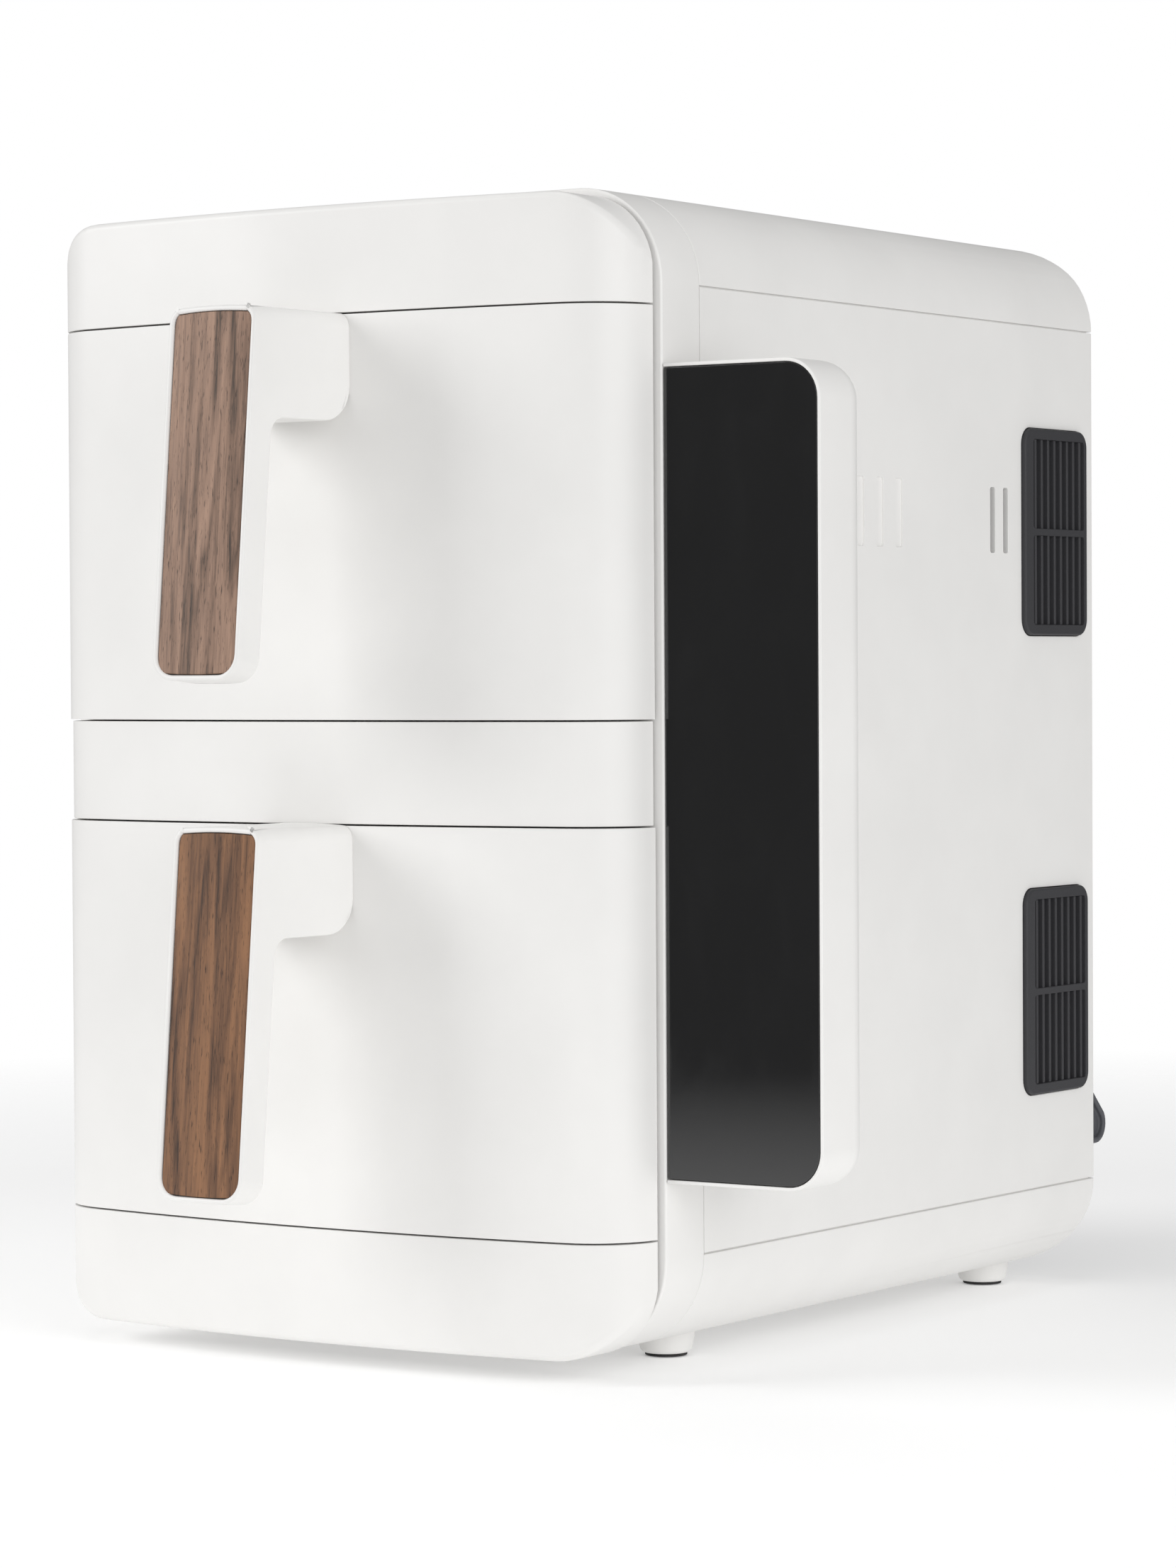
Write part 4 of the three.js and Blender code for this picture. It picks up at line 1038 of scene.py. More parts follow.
@dataclass
class Covers(Maker):
    """The top cover and the base cover, which close the housing above and below the side panels."""

    lip: float = 0.45
    vent: Flat = (3.2, 46)
    vent_corner: float = 1.55
    vent_xs: tuple[float, ...] = tuple(range(-36, 37, 12))
    vent_ys: Flat = (120, 190)
    vent_top: float = 20

    def cover(self, low: float, high: float) -> Work:
        """The housing's shell between two heights, with softened seam edges."""
        shell = HULL.body(0, HULL.shell_front).band(Axis.Z, low, high)
        shell.soften(self.lip, 3, 50)
        return shell.cut(HULL.body(HULL.wall, HULL.shell_front - CLEAR))

    def build(self) -> None:
        """Makes both covers."""
        half = HULL.seam / 2
        top = self.cover(HULL.top_seam + half, SKY)
        self.deliver(top, "top_cover_shell", WHITE, "top_cover")
        base = self.cover(0, HULL.base_seam - half)
        vents = [
            rounded_bar(Axis.Z, (x, y), self.vent, self.vent_corner, (0, self.vent_top), 4)
            for x in self.vent_xs
            for y in self.vent_ys
        ]
        self.deliver(base.cut(*vents), "base_cover_shell", WHITE, "base_cover")


@dataclass
class Sides(Maker):
    """Both side panels with their marks, and the four grilles."""

    window: Flat = (49.5, 78.5)
    window_corner: float = 6.5
    window_y: float = 272.5
    windows: dict[str, float] = field(default_factory=lambda: {"lower": 115.7, "upper": 289.4})
    grooves: tuple[float, ...] = (129.3, 142.8, 156.3)
    groove_size: Flat = (5.4, 24.7)
    groove_height: float = 294.3
    groove_depth: float = 0.9
    groove_corner: float = 1.2
    slots: tuple[float, ...] = (225.6, 235.5)
    slot_size: Flat = (3.6, 24.3)
    slot_height: float = 293.2
    slot_corner: float = 0.9
    rear_lip: float = 0.6
    play: float = 0.3
    proud: float = 1.8
    thickness: float = 4.6
    edge: float = 0.8
    borders: tuple[float, float, float] = (6.2, 2.6, 4.0)
    field_corner: float = 1.2
    cross_bar: float = 2.6
    fins: int = 8
    fin: Flat = (1.5, 2.6)
    tongue: float = 1.0

    def panel(self) -> Work:
        """The right-hand panel."""
        outer = HULL.half_width
        half = HULL.seam / 2
        heights = (HULL.base_seam + half, HULL.top_seam - half)
        panel = Work.block((outer - HULL.wall, outer), (HULL.shell_front, HULL.back), heights)
        rear = every(beyond(Axis.Y, HULL.back - 1), beyond(Axis.X, outer - 1))
        panel.round_edges(rear, self.rear_lip, 3)
        through = (outer - 2 * CLEAR, outer + CLEAR)
        for height in self.windows.values():
            spot = (self.window_y, height)
            panel.cut(rounded_bar(Axis.X, spot, self.window, self.window_corner, through, 8))
        for y in self.grooves:
            spot, ends = (y, self.groove_height), (outer - self.groove_depth, outer + CLEAR)
            panel.cut(rounded_bar(Axis.X, spot, self.groove_size, self.groove_corner, ends, 4))
        for y in self.slots:
            spot = (y, self.slot_height)
            panel.cut(rounded_bar(Axis.X, spot, self.slot_size, self.slot_corner, through, 4))
        panel.soften(0.3, 2, 50)
        depth = (outer - HULL.wall + 0.2, outer - self.tongue)
        run_length = (HULL.shell_front + 0.4, HULL.back - 3)
        tongues = []
        for seam in (HULL.base_seam, HULL.top_seam):
            edge = Work.block(depth, run_length, (seam - half, seam + half))
            tongues.append(edge.round_edges(along(Axis.Y.value), 0.05, 1))
        return panel.join(*tongues)

    def grille(self, height: float) -> Work:
        """A right-hand grille: a rounded plate with two fields of upright fins between its borders."""
        outer = HULL.half_width + self.proud
        wide, high = (length - 2 * self.play for length in self.window)
        spot, ends = (self.window_y, height), (outer - self.thickness, outer)
        plate = rounded_bar(Axis.X, spot, (wide, high), self.window_corner - self.play, ends, 10)
        plate.round_edges(beyond(Axis.X, outer - HAIR), self.edge, 4)
        front, rear, end = self.borders
        size = (wide - front - rear, (high - self.cross_bar) / 2 - end)
        y = self.window_y + (front - rear) / 2
        ends = (outer - self.fin[1] - self.edge, outer + CLEAR)
        for side in (-1, 1):
            place = (y, height + side * (size[1] + self.cross_bar) / 2)
            plate.cut(rounded_bar(Axis.X, place, size, self.field_corner, ends, 3))
        plate.soften(0.25, 2, 50)
        pitch = size[0] / self.fins
        tall = (height - size[1] - self.cross_bar / 2, height + size[1] + self.cross_bar / 2)
        sunk = 0.4
        deep = (outer - sunk - self.fin[1] - 0.6, outer - sunk)
        thin = self.fin[0] / 2
        first = y - size[0] / 2 + pitch / 2
        fin = Work.block(deep, (first - thin, first + thin), tall)
        fin.round_edges(beyond(Axis.X, outer - 0.5), 0.5, 3)
        return plate.join(fin.repeated([(0, index * pitch, 0) for index in range(self.fins)]))

    def build(self) -> None:
        """Makes the right side and mirrors it to the left."""
        self.deliver_pair(self.panel(), "side_shell", WHITE, "side_panel")
        for row, height in self.windows.items():
            self.deliver_pair(self.grille(height), f"{row}_grille_insert", CHARCOAL, f"{row}_grille")


@dataclass
class Feet(Maker):
    """Four tapered feet, each with a rubber pad."""

    x: float = 89
    ys: dict[str, float] = field(default_factory=lambda: {"front": 57, "rear": 282})
    wide: float = 10.2
    narrow: float = 9.2
    corner: float = 2.0
    taper: float = 84
    shoulder: float = 8.2
    top: float = 24.0
    pad_radius: float = 7.4
    pad_height: float = 1.2
    pad_round: float = 0.4

    def foot(self, spot: Flat) -> Work:
        """One foot, reaching up to the curved underside."""
        x, y = spot
        low, high = self.pad_height - 0.2, self.top
        pen = Pen(Axis.X, (y, low + 0.8), x).line((y + self.pad_radius - 1.2, low + 0.8))
        pen.line((y + self.pad_radius - 0.8, low), (y + self.narrow - self.corner, low))
        pen.arc((y + self.narrow - self.corner, low + self.corner), self.taper, 5)
        pen.line((y + self.wide, self.shoulder), (y + self.wide, high), (y, high))
        foot = pen.lathe(Axis.Z, (x, y, 0), 48)
        return foot.cut(HULL.body(-0.05, 0))

    def pad(self, spot: Flat) -> Work:
        """One pad, with a rounded edge and a ring groove underneath."""
        x, y = spot
        r, high, soft = self.pad_radius, self.pad_height, self.pad_round
        hollow = 0.3
        pen = Pen(Axis.X, (y, hollow), x).line((y + 3.0, hollow), (y + 3.4, 0), (y + r - soft, 0))
        pen.arc((y + r - soft, soft), 90, 4).line((y + r, high - soft))
        pen.line((y + r - 2 * soft, high - 0.15), (y, high - 0.15))
        return pen.lathe(Axis.Z, (x, y, 0), 48)

    def build(self) -> None:
        """Makes the four feet and their pads."""
        for side, x in (("left", -self.x), ("right", self.x)):
            for end, y in self.ys.items():
                name = f"{end}_{side}_foot"
                self.deliver(self.foot((x, y)), f"{name}_cone", WHITE, name)
                self.deliver(self.pad((x, y)), f"{name}_tread", RUBBER, f"{name}_pad")


# ---- handles


@dataclass
class Handle(Maker):
    """A drawer handle: a leaning grip on a flared arm, with a walnut inlay in its face.

    Heights are below the grip's top, which stands rise above the drawer's top gap line.
    """

    half_width: float = 18.2
    flare: float = 20.6
    front: float = -79.7
    lean: float = 11.7
    length: float = 125.3
    thickness: float = 12.0
    rise: float = 0.6
    arm: float = 37.5
    arm_corner: float = 12.0
    fillet: float = 7.0
    top_corner: float = 5.6
    low_corner: float = 8.6
    rim: float = 1.8
    inlay: float = 3.0
    arch: float = 0.8

    @property
    def angle(self) -> float:
        """The grip's lean from upright, in degrees."""
        return math.degrees(math.asin(self.lean / self.length))

    @property
    def arm_back(self) -> float:
        """Where the arm meets the drawer front."""
        return BOW.apex + 0.45

    def leaned(self, work: Work, top: float) -> Work:
        """Leans a piece that was drawn hanging from z = 0 with its face on y = 0, and lifts it to top."""
        return work.turn(-self.angle, Axis.X).move(0, self.front, top)

    def side_form(self, top: float) -> Work:
        """The handle's side outline, with the hollow fillet under the arm, as wide as the flare."""
        lean = math.radians(self.angle)
        down = Vector((-math.sin(lean), -math.cos(lean)))
        inward = Vector((math.cos(lean), -math.sin(lean)))
        start = Vector((self.front, top))
        foot = start + down * self.length
        heel = foot + inward * self.thickness
        under = top - self.arm
        across = self.fillet
        spot_z = under - across
        back_y = heel.x + (spot_z - heel.y) * math.tan(lean) + across / math.cos(lean)
        reach = across * math.cos(lean)
        pen = Pen(Axis.X, tuple(start), -self.flare - 2).line(tuple(foot), tuple(heel))
        pen.line((back_y - reach, spot_z + across * math.sin(lean)))
        pen.arc((back_y, spot_z), -(90 - self.angle), 8)
        pen.line((self.arm_back - self.arm_corner, under))
        pen.arc((self.arm_back - self.arm_corner, under + self.arm_corner), 90, 8)
        pen.line((self.arm_back, top))
        return pen.prism(2 * self.flare + 4)

    def plan_form(self, top: float) -> Work:
        """The handle's plan: straight beside the grip, then flaring softly towards the drawer."""
        start = self.front + self.thickness - 2
        steps = 10
        edge = []
        for index in range(steps + 1):
            share = index / steps
            y = start + (self.arm_back - start) * share
            edge.append((self.half_width + (self.flare - self.half_width) * share**2.2, y))
        left = [(-x, y) for x, y in reversed(edge)]
        ahead = self.front - self.lean - 6
        pen = Pen(Axis.Z, (-self.half_width, ahead), top - self.length - 10)
        return pen.line((self.half_width, ahead), *edge, *left).prism(self.length + 20)

    def arched_form(self, half: float, low: float, high: float, ends: Flat, arch: float) -> Work:
        """A block whose top and bottom swell by arch in the middle."""
        reach = half + 6
        radius = (reach**2 + arch**2) / (2 * arch)
        sweep = math.degrees(2 * math.asin(reach / radius))
        pen = Pen(Axis.Y, (-reach, low + arch), ends[0])
        pen.arc((0, low + radius), sweep, 16).line((reach, high - arch))
        pen.arc((0, high - radius), sweep, 16)
        return pen.prism(ends[1] - ends[0])

    def at_side(self, reach: float) -> Test:
        """A test for parts whose corners all lie further out than reach, on either side."""
        return lambda part: all(abs(v.co.x) > reach for v in part.verts)

    def bracket(self, base: float) -> Work:
        """The white grip and arm, with the inlay's pocket."""
        top = base + BowedFront().height + self.rise
        low = top - self.length * math.cos(math.radians(self.angle)) - 1.0
        swell = self.arch * ((self.half_width + 6) / self.half_width) ** 2
        form = self.side_form(top).keep(self.plan_form(top))
        beside = every(along(Axis.Y.value, 0.8), self.at_side(self.half_width - 0.5))
        form.round_edges(every(beside, centred(Axis.Z, top - 0.5)), self.top_corner, 7)
        form.round_edges(every(beside, centred(Axis.Z, low + 3, False)), self.low_corner, 8)
        form.keep(self.arched_form(self.half_width, low - 0.2, top, (-120, 0), swell))
        form.sink(self.grip_face(), self.rim, -self.inlay - 0.2)
        return form.soften(0.75, 3, 38)

    def grip_face(self) -> Test:
        """A test for the grip's leaning front face."""
        lean = math.radians(self.angle)
        return facing((0, -math.cos(lean), math.sin(lean)), 0.9995)

    def veneer(self, base: float) -> Work:
        """The walnut inlay: a plate crowned from side to side, with arched ends and round corners."""
        gap = 0.25
        half = self.half_width - self.rim - 0.22
        high = -self.rim - gap
        low = -self.length + self.rim + gap
        radius = (half**2 + self.arch**2) / (2 * self.arch)
        sweep = math.degrees(2 * math.asin(half / radius))
        pen = Pen(Axis.Z, (half, self.inlay), low - 2).line((half, self.arch))
        pen.arc((0, radius), -sweep, 20).line((-half, self.inlay))
        plate = pen.prism(high - low + 4)
        plate.keep(self.arched_form(half, low, high, (-2, 8), self.arch * 1.5))
        beside = every(along(Axis.Y.value, 0.9), self.at_side(half - 0.05))
        above, below = centred(Axis.Z, high - 3), centred(Axis.Z, low + 3, False)
        plate.round_edges(every(beside, above), self.top_corner - self.rim, 6)
        plate.round_edges(every(beside, below), self.low_corner - self.rim, 7)
        plate.soften(0.4, 3, 40)
        return self.leaned(plate, base + BowedFront().height + self.rise)

    def build(self) -> None:
        """Makes both handles."""
        woods = {"lower": WALNUT_RED, "upper": WALNUT_GREY}
        for row, base in BowedFront().rows.items():
            self.body = f"{row}_drawer"
            self.deliver(self.bracket(base), f"{row}_handle_grip", WHITE, f"{row}_handle_bracket")
            self.deliver(self.veneer(base), f"{row}_handle_veneer", woods[row], f"{row}_handle_inlay")


# ---- control pod


@dataclass
class ControlPod(Maker):
    """The touch panel's pod beside the housing: a rounded tray, dark glass and the touch board."""

    inner: float = 126.5
    outer: float = 187.4
    low: float = 67
    high: float = 340
    back: float = 33
    corner: float = 13.5
    back_corner: float = 13.0
    rim: float = 1.5
    glass: float = 2.0
    ledge: float = 2.5
    cavity: float = 20
    board_ends: Flat = (5.3, 6.9)
    board_corner: float = 2.5
    hole: float = 1.7
    chips: tuple[float, ...] = (118, 176, 238)
    chip: float = 5
    leg_pitch: float = 1.2
    plug: tuple[float, Flat] = (9, (84, 91))

    def tray(self) -> Work:
        """The white tray, square against the housing and round everywhere outside."""
        front, back = RingFrame.front, self.back
        tray = Work.block((self.inner, self.outer), (front, back), (self.low, self.high))
        tray.round_edges(outside_of(self.outer - 1), self.corner, 10)
        rear = every(beyond(Axis.Y, back - HAIR), centred(Axis.X, self.inner + 1))
        tray.round_edges(rear, self.back_corner, 9)
        step = self.rim - 0.3
        seat = Work.block(
            (self.inner - CLEAR, self.outer - step),
            (front - CLEAR, front + self.glass + 0.6),
            (self.low + step, self.high - step),
        )
        tray.cut(seat.round_edges(outside_of(self.outer - 3), self.corner - step, 10))
        floor = every(facing((0, -1, 0)), centred(Axis.Y, front + 1))
        tray.sink(floor, self.ledge, -self.cavity)
        return tray.soften(0.4, 3, 40)

    def pane(self) -> Work:
        """The glass, which runs to the housing's side and has round outer corners."""
        gap = self.rim
        front = RingFrame.front + 0.3
        spans = (
            (self.inner + 0.15, self.outer - gap),
            (front, front + self.glass),
            (self.low + gap, self.high - gap),
        )
        pane = Work.block(*spans).round_edges(outside_of(self.outer - 5), self.corner - gap, 10)
        return pane.soften(0.28, 3, 40)

    def board(self) -> Work:
        """The touch board's plate."""
        x, z = (self.inner + 6, self.outer - 9), (self.low + 10, self.high - 10)
        board = Work.block(x, self.board_ends, z)
        board.round_edges(along(Axis.Y.value), self.board_corner, 4)
        holes = [
            Work.rod(self.hole, Axis.Y, spot, (0, 12), 16)
            for spot in itertools.product((x[0] + 4, x[1] - 4), (z[0] + 4, z[1] - 4))
        ]
        return board.cut(*holes)

    def parts(self) -> Work:
        """The chips and connector on the board's back."""
        centre = (self.inner + self.outer) / 2
        face, half, reach = 7, self.chip, self.chip + 1.2
        chip = Work.block((centre - half, centre + half), (face, face + 1.2), (-half, half)).soften(0.3, 2)
        legs = Work.block((centre - reach, centre + reach), (face + 0.05, face + 0.3), (-0.25, 0.25))
        rows = legs.repeated([(0, 0, step * self.leg_pitch) for step in range(-3, 4)])
        chips = chip.join(rows).repeated([(0, 0, z) for z in self.chips])
        wide, heights = self.plug
        plug = Work.block((centre - wide, centre + wide), (face, face + 2.6), heights).soften(0.5, 2)
        plug.sink(facing(Axis.Y.value), 1.0, -1.4)
        return chips.join(plug)

    def build(self) -> None:
        """Makes the pod's pieces."""
        self.deliver(self.tray(), "control_pod_tray", WHITE, "control_housing")
        self.deliver(self.pane(), "control_pod_glass", GLASS, "control_glass")
        self.deliver(self.board(), "touch_board_plate", LACQUER, "touch_board")
        self.deliver(self.parts(), "touch_board_parts", CHIP)


# ---- rear of the housing


def screw(spot: Flat, level: float, radius: float = 2.8, ahead: bool = False) -> Work:
    """A domed screw with a cross recess.

    Args:
        spot: its x and z.
        level: the y that its head sits on.
        radius: its head's radius.
        ahead: whether it faces the front instead of the back.

    Returns:
        The screw.
    """
    x, z = spot
    shank, root, rim, dome = radius * 0.45, 1.2, 0.4, 0.8
    pen = Pen(Axis.X, (level - root, z), x).line((level - root, z + shank), (level, z + shank))
    pen.line((level, z + radius), (level + rim, z + radius))
    head = pen.oval((level + rim, z), (dome, radius), 90, -90, 6).lathe(Axis.Y, (x, 0, z), 24)
    arm, half = radius * 0.6, radius * 0.13
    for angle in (0, 90):
        bar = Work.block((x - arm, x + arm), (level + rim, level + 3), (z - half, z + half))
        head.cut(bar.turn(angle, Axis.Y, (x, 0, z)))
    return head.turn(180, Axis.Z, (x, level, z)) if ahead else head


def pressed_ring(spot: Flat, size: Flat, groove: Point, back: float, steps: int) -> Work:
    """A cutter for a groove along a rounded rectangle in a plate's back.

    groove gives its outer corner radius, its width and its depth.
    """
    corner, wide, deep = groove
    within = tuple(length - 2 * wide for length in size)
    ring = rounded_bar(Axis.Y, spot, size, corner, (back - deep, back + CLEAR), steps)
    return ring.cut(rounded_bar(Axis.Y, spot, within, corner - wide, (back - CLEAR, back + FAR), steps))


@dataclass
class Rear(Maker):
    """The back panel with its louvres and screws, the wall spacers and the cord's bush."""

    half_width: float = 123.4
    ends: Flat = (301.7, 304.2)
    heights: Flat = (41.4, 366.6)
    axis_rise: float = 69.15
    vent: Flat = (84, 4.2)
    pitch: float = 9
    rows: int = 6
    bush: Flat = (52, 66)
    bush_radii: tuple[float, float, float, float] = (3.7, 6.5, 9.5, 4.9)
    bush_ends: Flat = (298.7, 324.2)
    ribs: int = 6
    spacer: Point = (113, 7, 22.0)
    spacer_heights: Flat = (52.6, 84)
    nose: float = 7.5
    screws: tuple[Flat, ...] = (
        *((-114, 352), (0, 355), (114, 352), (-114, 204)),
        *((114, 204), (-70, 52), (14, 52), (92, 56)),
    )
    seat: Flat = (4.4, 0.8)
    groove: Point = (12, 1.5, 0.6)
    groove_border: Flat = (30, 44)
    field_border: Flat = (14, 10)
    field_depth: float = 0.7
    hood: tuple[Flat, ...] = ((-1.4, 1.9), (-1.4, 4.6), (0.9, 1.6), (0.9, 0.5))

    def panel(self) -> Work:
        """The panel: two louvred fields in a grooved plate with countersunk screw seats."""
        front, back = self.ends
        side = self.half_width
        panel = Work.block((-side, side), self.ends, self.heights).round_edges(along(Axis.Y.value), 1.5, 3)
        border = self.groove_border
        size = (2 * side - border[0], self.heights[1] - self.heights[0] - border[1])
        panel.cut(pressed_ring((0, sum(self.heights) / 2), size, self.groove, back, 6))
        hoods = []
        for base in BowedFront().rows.values():
            axis = base + self.axis_rise
            size = (self.vent[0] + self.field_border[0], self.rows * self.pitch + self.field_border[1])
            panel.cut(rounded_bar(Axis.Y, (0, axis), size, 7, (back - self.field_depth, back + CLEAR), 6))
            for row in range(self.rows):
                z = axis + (row - (self.rows - 1) / 2) * self.pitch
                panel.cut(rounded_bar(Axis.Y, (0, z), self.vent, 2.0, (front - CLEAR, back + CLEAR), 4))
                start, *others = ((back + ahead, z + up) for ahead, up in self.hood)
                pen = Pen(Axis.X, start, -self.vent[0] / 2).line(*others)
                hoods.append(pen.prism(self.vent[0]).soften(0.3, 2, 30))
        hole = self.bush_radii[1] + 0.3
        panel.cut(Work.rod(hole, Axis.Y, self.bush, (front - CLEAR, back + CLEAR), 48))
        radius, depth = self.seat
        for spot in self.screws:
            panel.cut(Work.rod(radius, Axis.Y, spot, (back - depth, back + CLEAR), 28))
        return panel.soften(0.25, 2, 50).join(*hoods)

    def wall_spacer(self) -> Work:
        """The right-hand spacer: a leaf with a sloping top, a round nose and hollowed sides."""
        x, half, depth = self.spacer
        start = self.ends[1] + 0.3
        low, high = self.spacer_heights
        heart = (self.ends[1] + depth - self.nose, low + self.nose)
        pen = Pen(Axis.X, (start, low + 1.5), x - half).line((start + 3, low)).line((heart[0], low))
        leaf = pen.arc(heart, 126, 10).line((start, high)).prism(2 * half)
        leaf.sink(lambda face: abs(face.normal.x) > 0.99, 2.4, -2.0)
        return leaf.soften(0.8, 3, 40)

    def cord_bush(self) -> Work:
        """The bush's flange and its ribbed sleeve."""
        x, z = self.bush
        bore, neck, flange, tip = self.bush_radii
        front, end = self.bush_ends
        seat = self.ends[1] + 0.3
        pen = Pen(Axis.X, (front, z + bore), x).line((front, z + neck), (seat, z + neck), (seat, z + flange))
        pen.line((seat + 1.8, z + flange)).arc((seat + 1.8, z + flange - 0.9), -90, 4)
        pen.line((seat + 3.6, z + neck))
        step = (end - seat - 5) / self.ribs
        slope, deep = 0.25, 0.8
        for rib in range(self.ribs):
            y = seat + 4.4 + rib * step
            top = z + neck + (tip - neck) * (rib + 1) / self.ribs
            onward = y + step * 0.4
            pen.line((y, top), (y + slope, top - deep), (onward, top - deep), (onward + slope, top))
        pen.line((end - 0.5, z + tip), (end, z + tip - 0.5), (end, z + bore), (front, z + bore))
        return pen.lathe(Axis.Y, (x, 0, z), 40)

    def build(self) -> None:
        """Makes the rear's pieces."""
        self.deliver(self.panel(), "back_panel_louvred", GREY, "back_panel")
        heads = [screw(spot, self.ends[1] - 0.75) for spot in self.screws]
        self.deliver(joined(heads), "back_panel_screws", TURNED_STEEL)
        self.deliver_pair(self.wall_spacer(), "wall_spacer", GREY, "rear_spacer")
        self.deliver(self.cord_bush(), "ribbed_cord_bush", GREY, "cord_bush")


# ---- drawers


@dataclass
class Drawer(Maker):
    """What a drawer carries: the back plate, the basket and the crisper plate in it."""

    half_width: float = 99
    ends: Flat = (-0.6, 191.1)
    lift: float = 4
    height: float = 100
    wall: float = 1.6
    corner: float = 16
    bead: float = 0.8
    bottom: float = 9
    rim: Flat = (3, 1.1)
    rib_xs: tuple[float, ...] = (-60, -30, 0, 30, 60)
    rib: Flat = (2, 0.7)
    plate_depth: Flat = (-3.9, -0.9)
    plate_heights: Flat = (3.3, 135)
    plate_frame: Flat = (212, 118)
    plate_groove: Point = (9, 1.5, 0.6)
    plate_seat: Flat = (3.6, 1.6)
    screws: tuple[Flat, ...] = ((-112, 22), (112, 22), (-112, 118), (112, 118), (-45, 121), (45, 121))
    slots: int = 7
    slot: Flat = (8, 62)
    slot_foot: float = 24
    slot_corner: float = 3.9
    tray_heights: Flat = (13.9, 15.5)
    tray_inset: float = 3.4
    tray_foot: Flat = (80.4, 77.25)
    foot_radius: float = 3.6
    tray_slots: tuple[int, int] = (5, 6)
    tray_slot: Flat = (16, 6)
    tray_slot_corner: float = 2.9
    tray_lip: Flat = (1.6, 1.4)
    cap: Flat = (5.9, 11.8)
    clip: Point = (7, 0.9, 0.7)

    def tub(self, inset: float, heights: Flat, bottom: float = 0) -> Work:
        """A block of the basket's outline, moved in, with round upright corners and a round bottom edge."""
        side = self.half_width - inset
        tub = Work.block((-side, side), (self.ends[0] + inset, self.ends[1] - inset), heights)
        tub.round_edges(along(Axis.Z.value), self.corner - inset, 9)
        if bottom:
            tub.round_edges(beyond(Axis.Z, heights[0] + HAIR, False), bottom, 6)
        return tub

    def basket(self, base: float) -> Work:
        """The basket, with a rolled rim, pressed ribs in its floor and air slots in its rear wall."""
        low = base + self.lift
        high = low + self.height
        inner = self.bead + self.wall
        basket = self.tub(self.bead, (low, high - 0.8), self.bottom)
        basket.cut(self.tub(inner, (low + self.wall, high + CLEAR), self.bottom - 1.4))
        tall, rolled = self.rim
        rim = self.tub(0, (high - tall, high))
        rim.cut(self.tub(inner + 0.4, (high - tall - CLEAR, high + CLEAR)))
        basket.fuse(rim.soften(rolled, 4, 50))
        (half, deep), ends = self.rib, (self.ends[0] + 30, self.ends[1] - 30)
        for x in self.rib_xs:
            rib = Work.block((x - half, x + half), ends, (low - 2, low + deep))
            basket.cut(rib.round_edges(along(Axis.Z.value), half - 0.1, 4))
        reach = self.half_width - self.corner - self.slot[0]
        z = low + self.slot_foot + self.slot[1] / 2
        through = (self.ends[1] - FAR, self.ends[1] + CLEAR)
        for index in range(self.slots):
            x = reach * (2 * index / (self.slots - 1) - 1)
            basket.cut(rounded_bar(Axis.Y, (x, z), self.slot, self.slot_corner, through, 6))
        return basket

    def tray(self, base: float) -> Work:
        """The crisper plate: a rimmed, slotted plate on four pressed legs."""
        low, high = (base + level for level in self.tray_heights)
        wall, lip = self.tray_lip
        tray = self.tub(self.tray_inset, (low, high + lip))
        tray.cut(self.tub(self.tray_inset + wall, (high, high + FAR)))
        tray.soften(0.6, 3, 50)
        centre = sum(self.ends) / 2
        columns, rows = self.tray_slots
        reach = [length - 8 for length in self.tray_foot]
        for row in range(rows):
            y = centre + ((row + 0.5) / rows - 0.5) * 2 * reach[1]
            for column in range(columns):
                x = ((column + 0.5) / columns - 0.5) * 2 * reach[0]
                ends = (low - 3, high + 3)
                tray.cut(rounded_bar(Axis.Z, (x, y), self.tray_slot, self.tray_slot_corner, ends, 5))
        legs = [
            Work.rod(self.foot_radius - 0.8, Axis.Z, spot, (base + 7.5, low + 0.5), 24).soften(0.4)
            for spot in self.feet(centre)
        ]
        return tray.join(*legs)

    def feet(self, centre: float) -> list[Flat]:
        """Where the crisper plate's four legs stand."""
        x, y = self.tray_foot
        return [(side * x, centre + end * y) for side in (-1, 1) for end in (-1, 1)]

    def bumpers(self, base: float) -> Work:
        """The silicone caps on the legs and the four clips that keep the plate off the basket's walls."""
        centre = sum(self.ends) / 2
        foot, tip = (base + level for level in self.cap)
        soft = 0.6
        caps = []
        for x, y in self.feet(centre):
            out = y + self.foot_radius
            pen = Pen(Axis.X, (y, foot), x).line((out - soft, foot)).arc((out - soft, foot + soft), 90, 4)
            pen.line((out - 0.3, tip - 0.4), (out - 0.7, tip), (y, tip))
            caps.append(pen.lathe(Axis.Z, (x, y, 0), 24))
        side = self.half_width - self.tray_inset
        low, high = (base + level for level in self.tray_heights)
        half, below, proud = self.clip
        heights = (low - below, high + 2.2)
        for way in (-1, 1):
            clip = Work.block((side - 2.6, side + proud), (centre - half, centre + half), heights)
            clip.soften(soft, 3)
            caps.append(clip if way > 0 else clip.flip())
            end = centre + way * ((self.ends[1] - self.ends[0]) / 2 - self.tray_inset - below)
            caps.append(Work.block((-half, half), (end - 1.6, end + 1.6), heights).soften(soft, 3))
        return joined(caps)

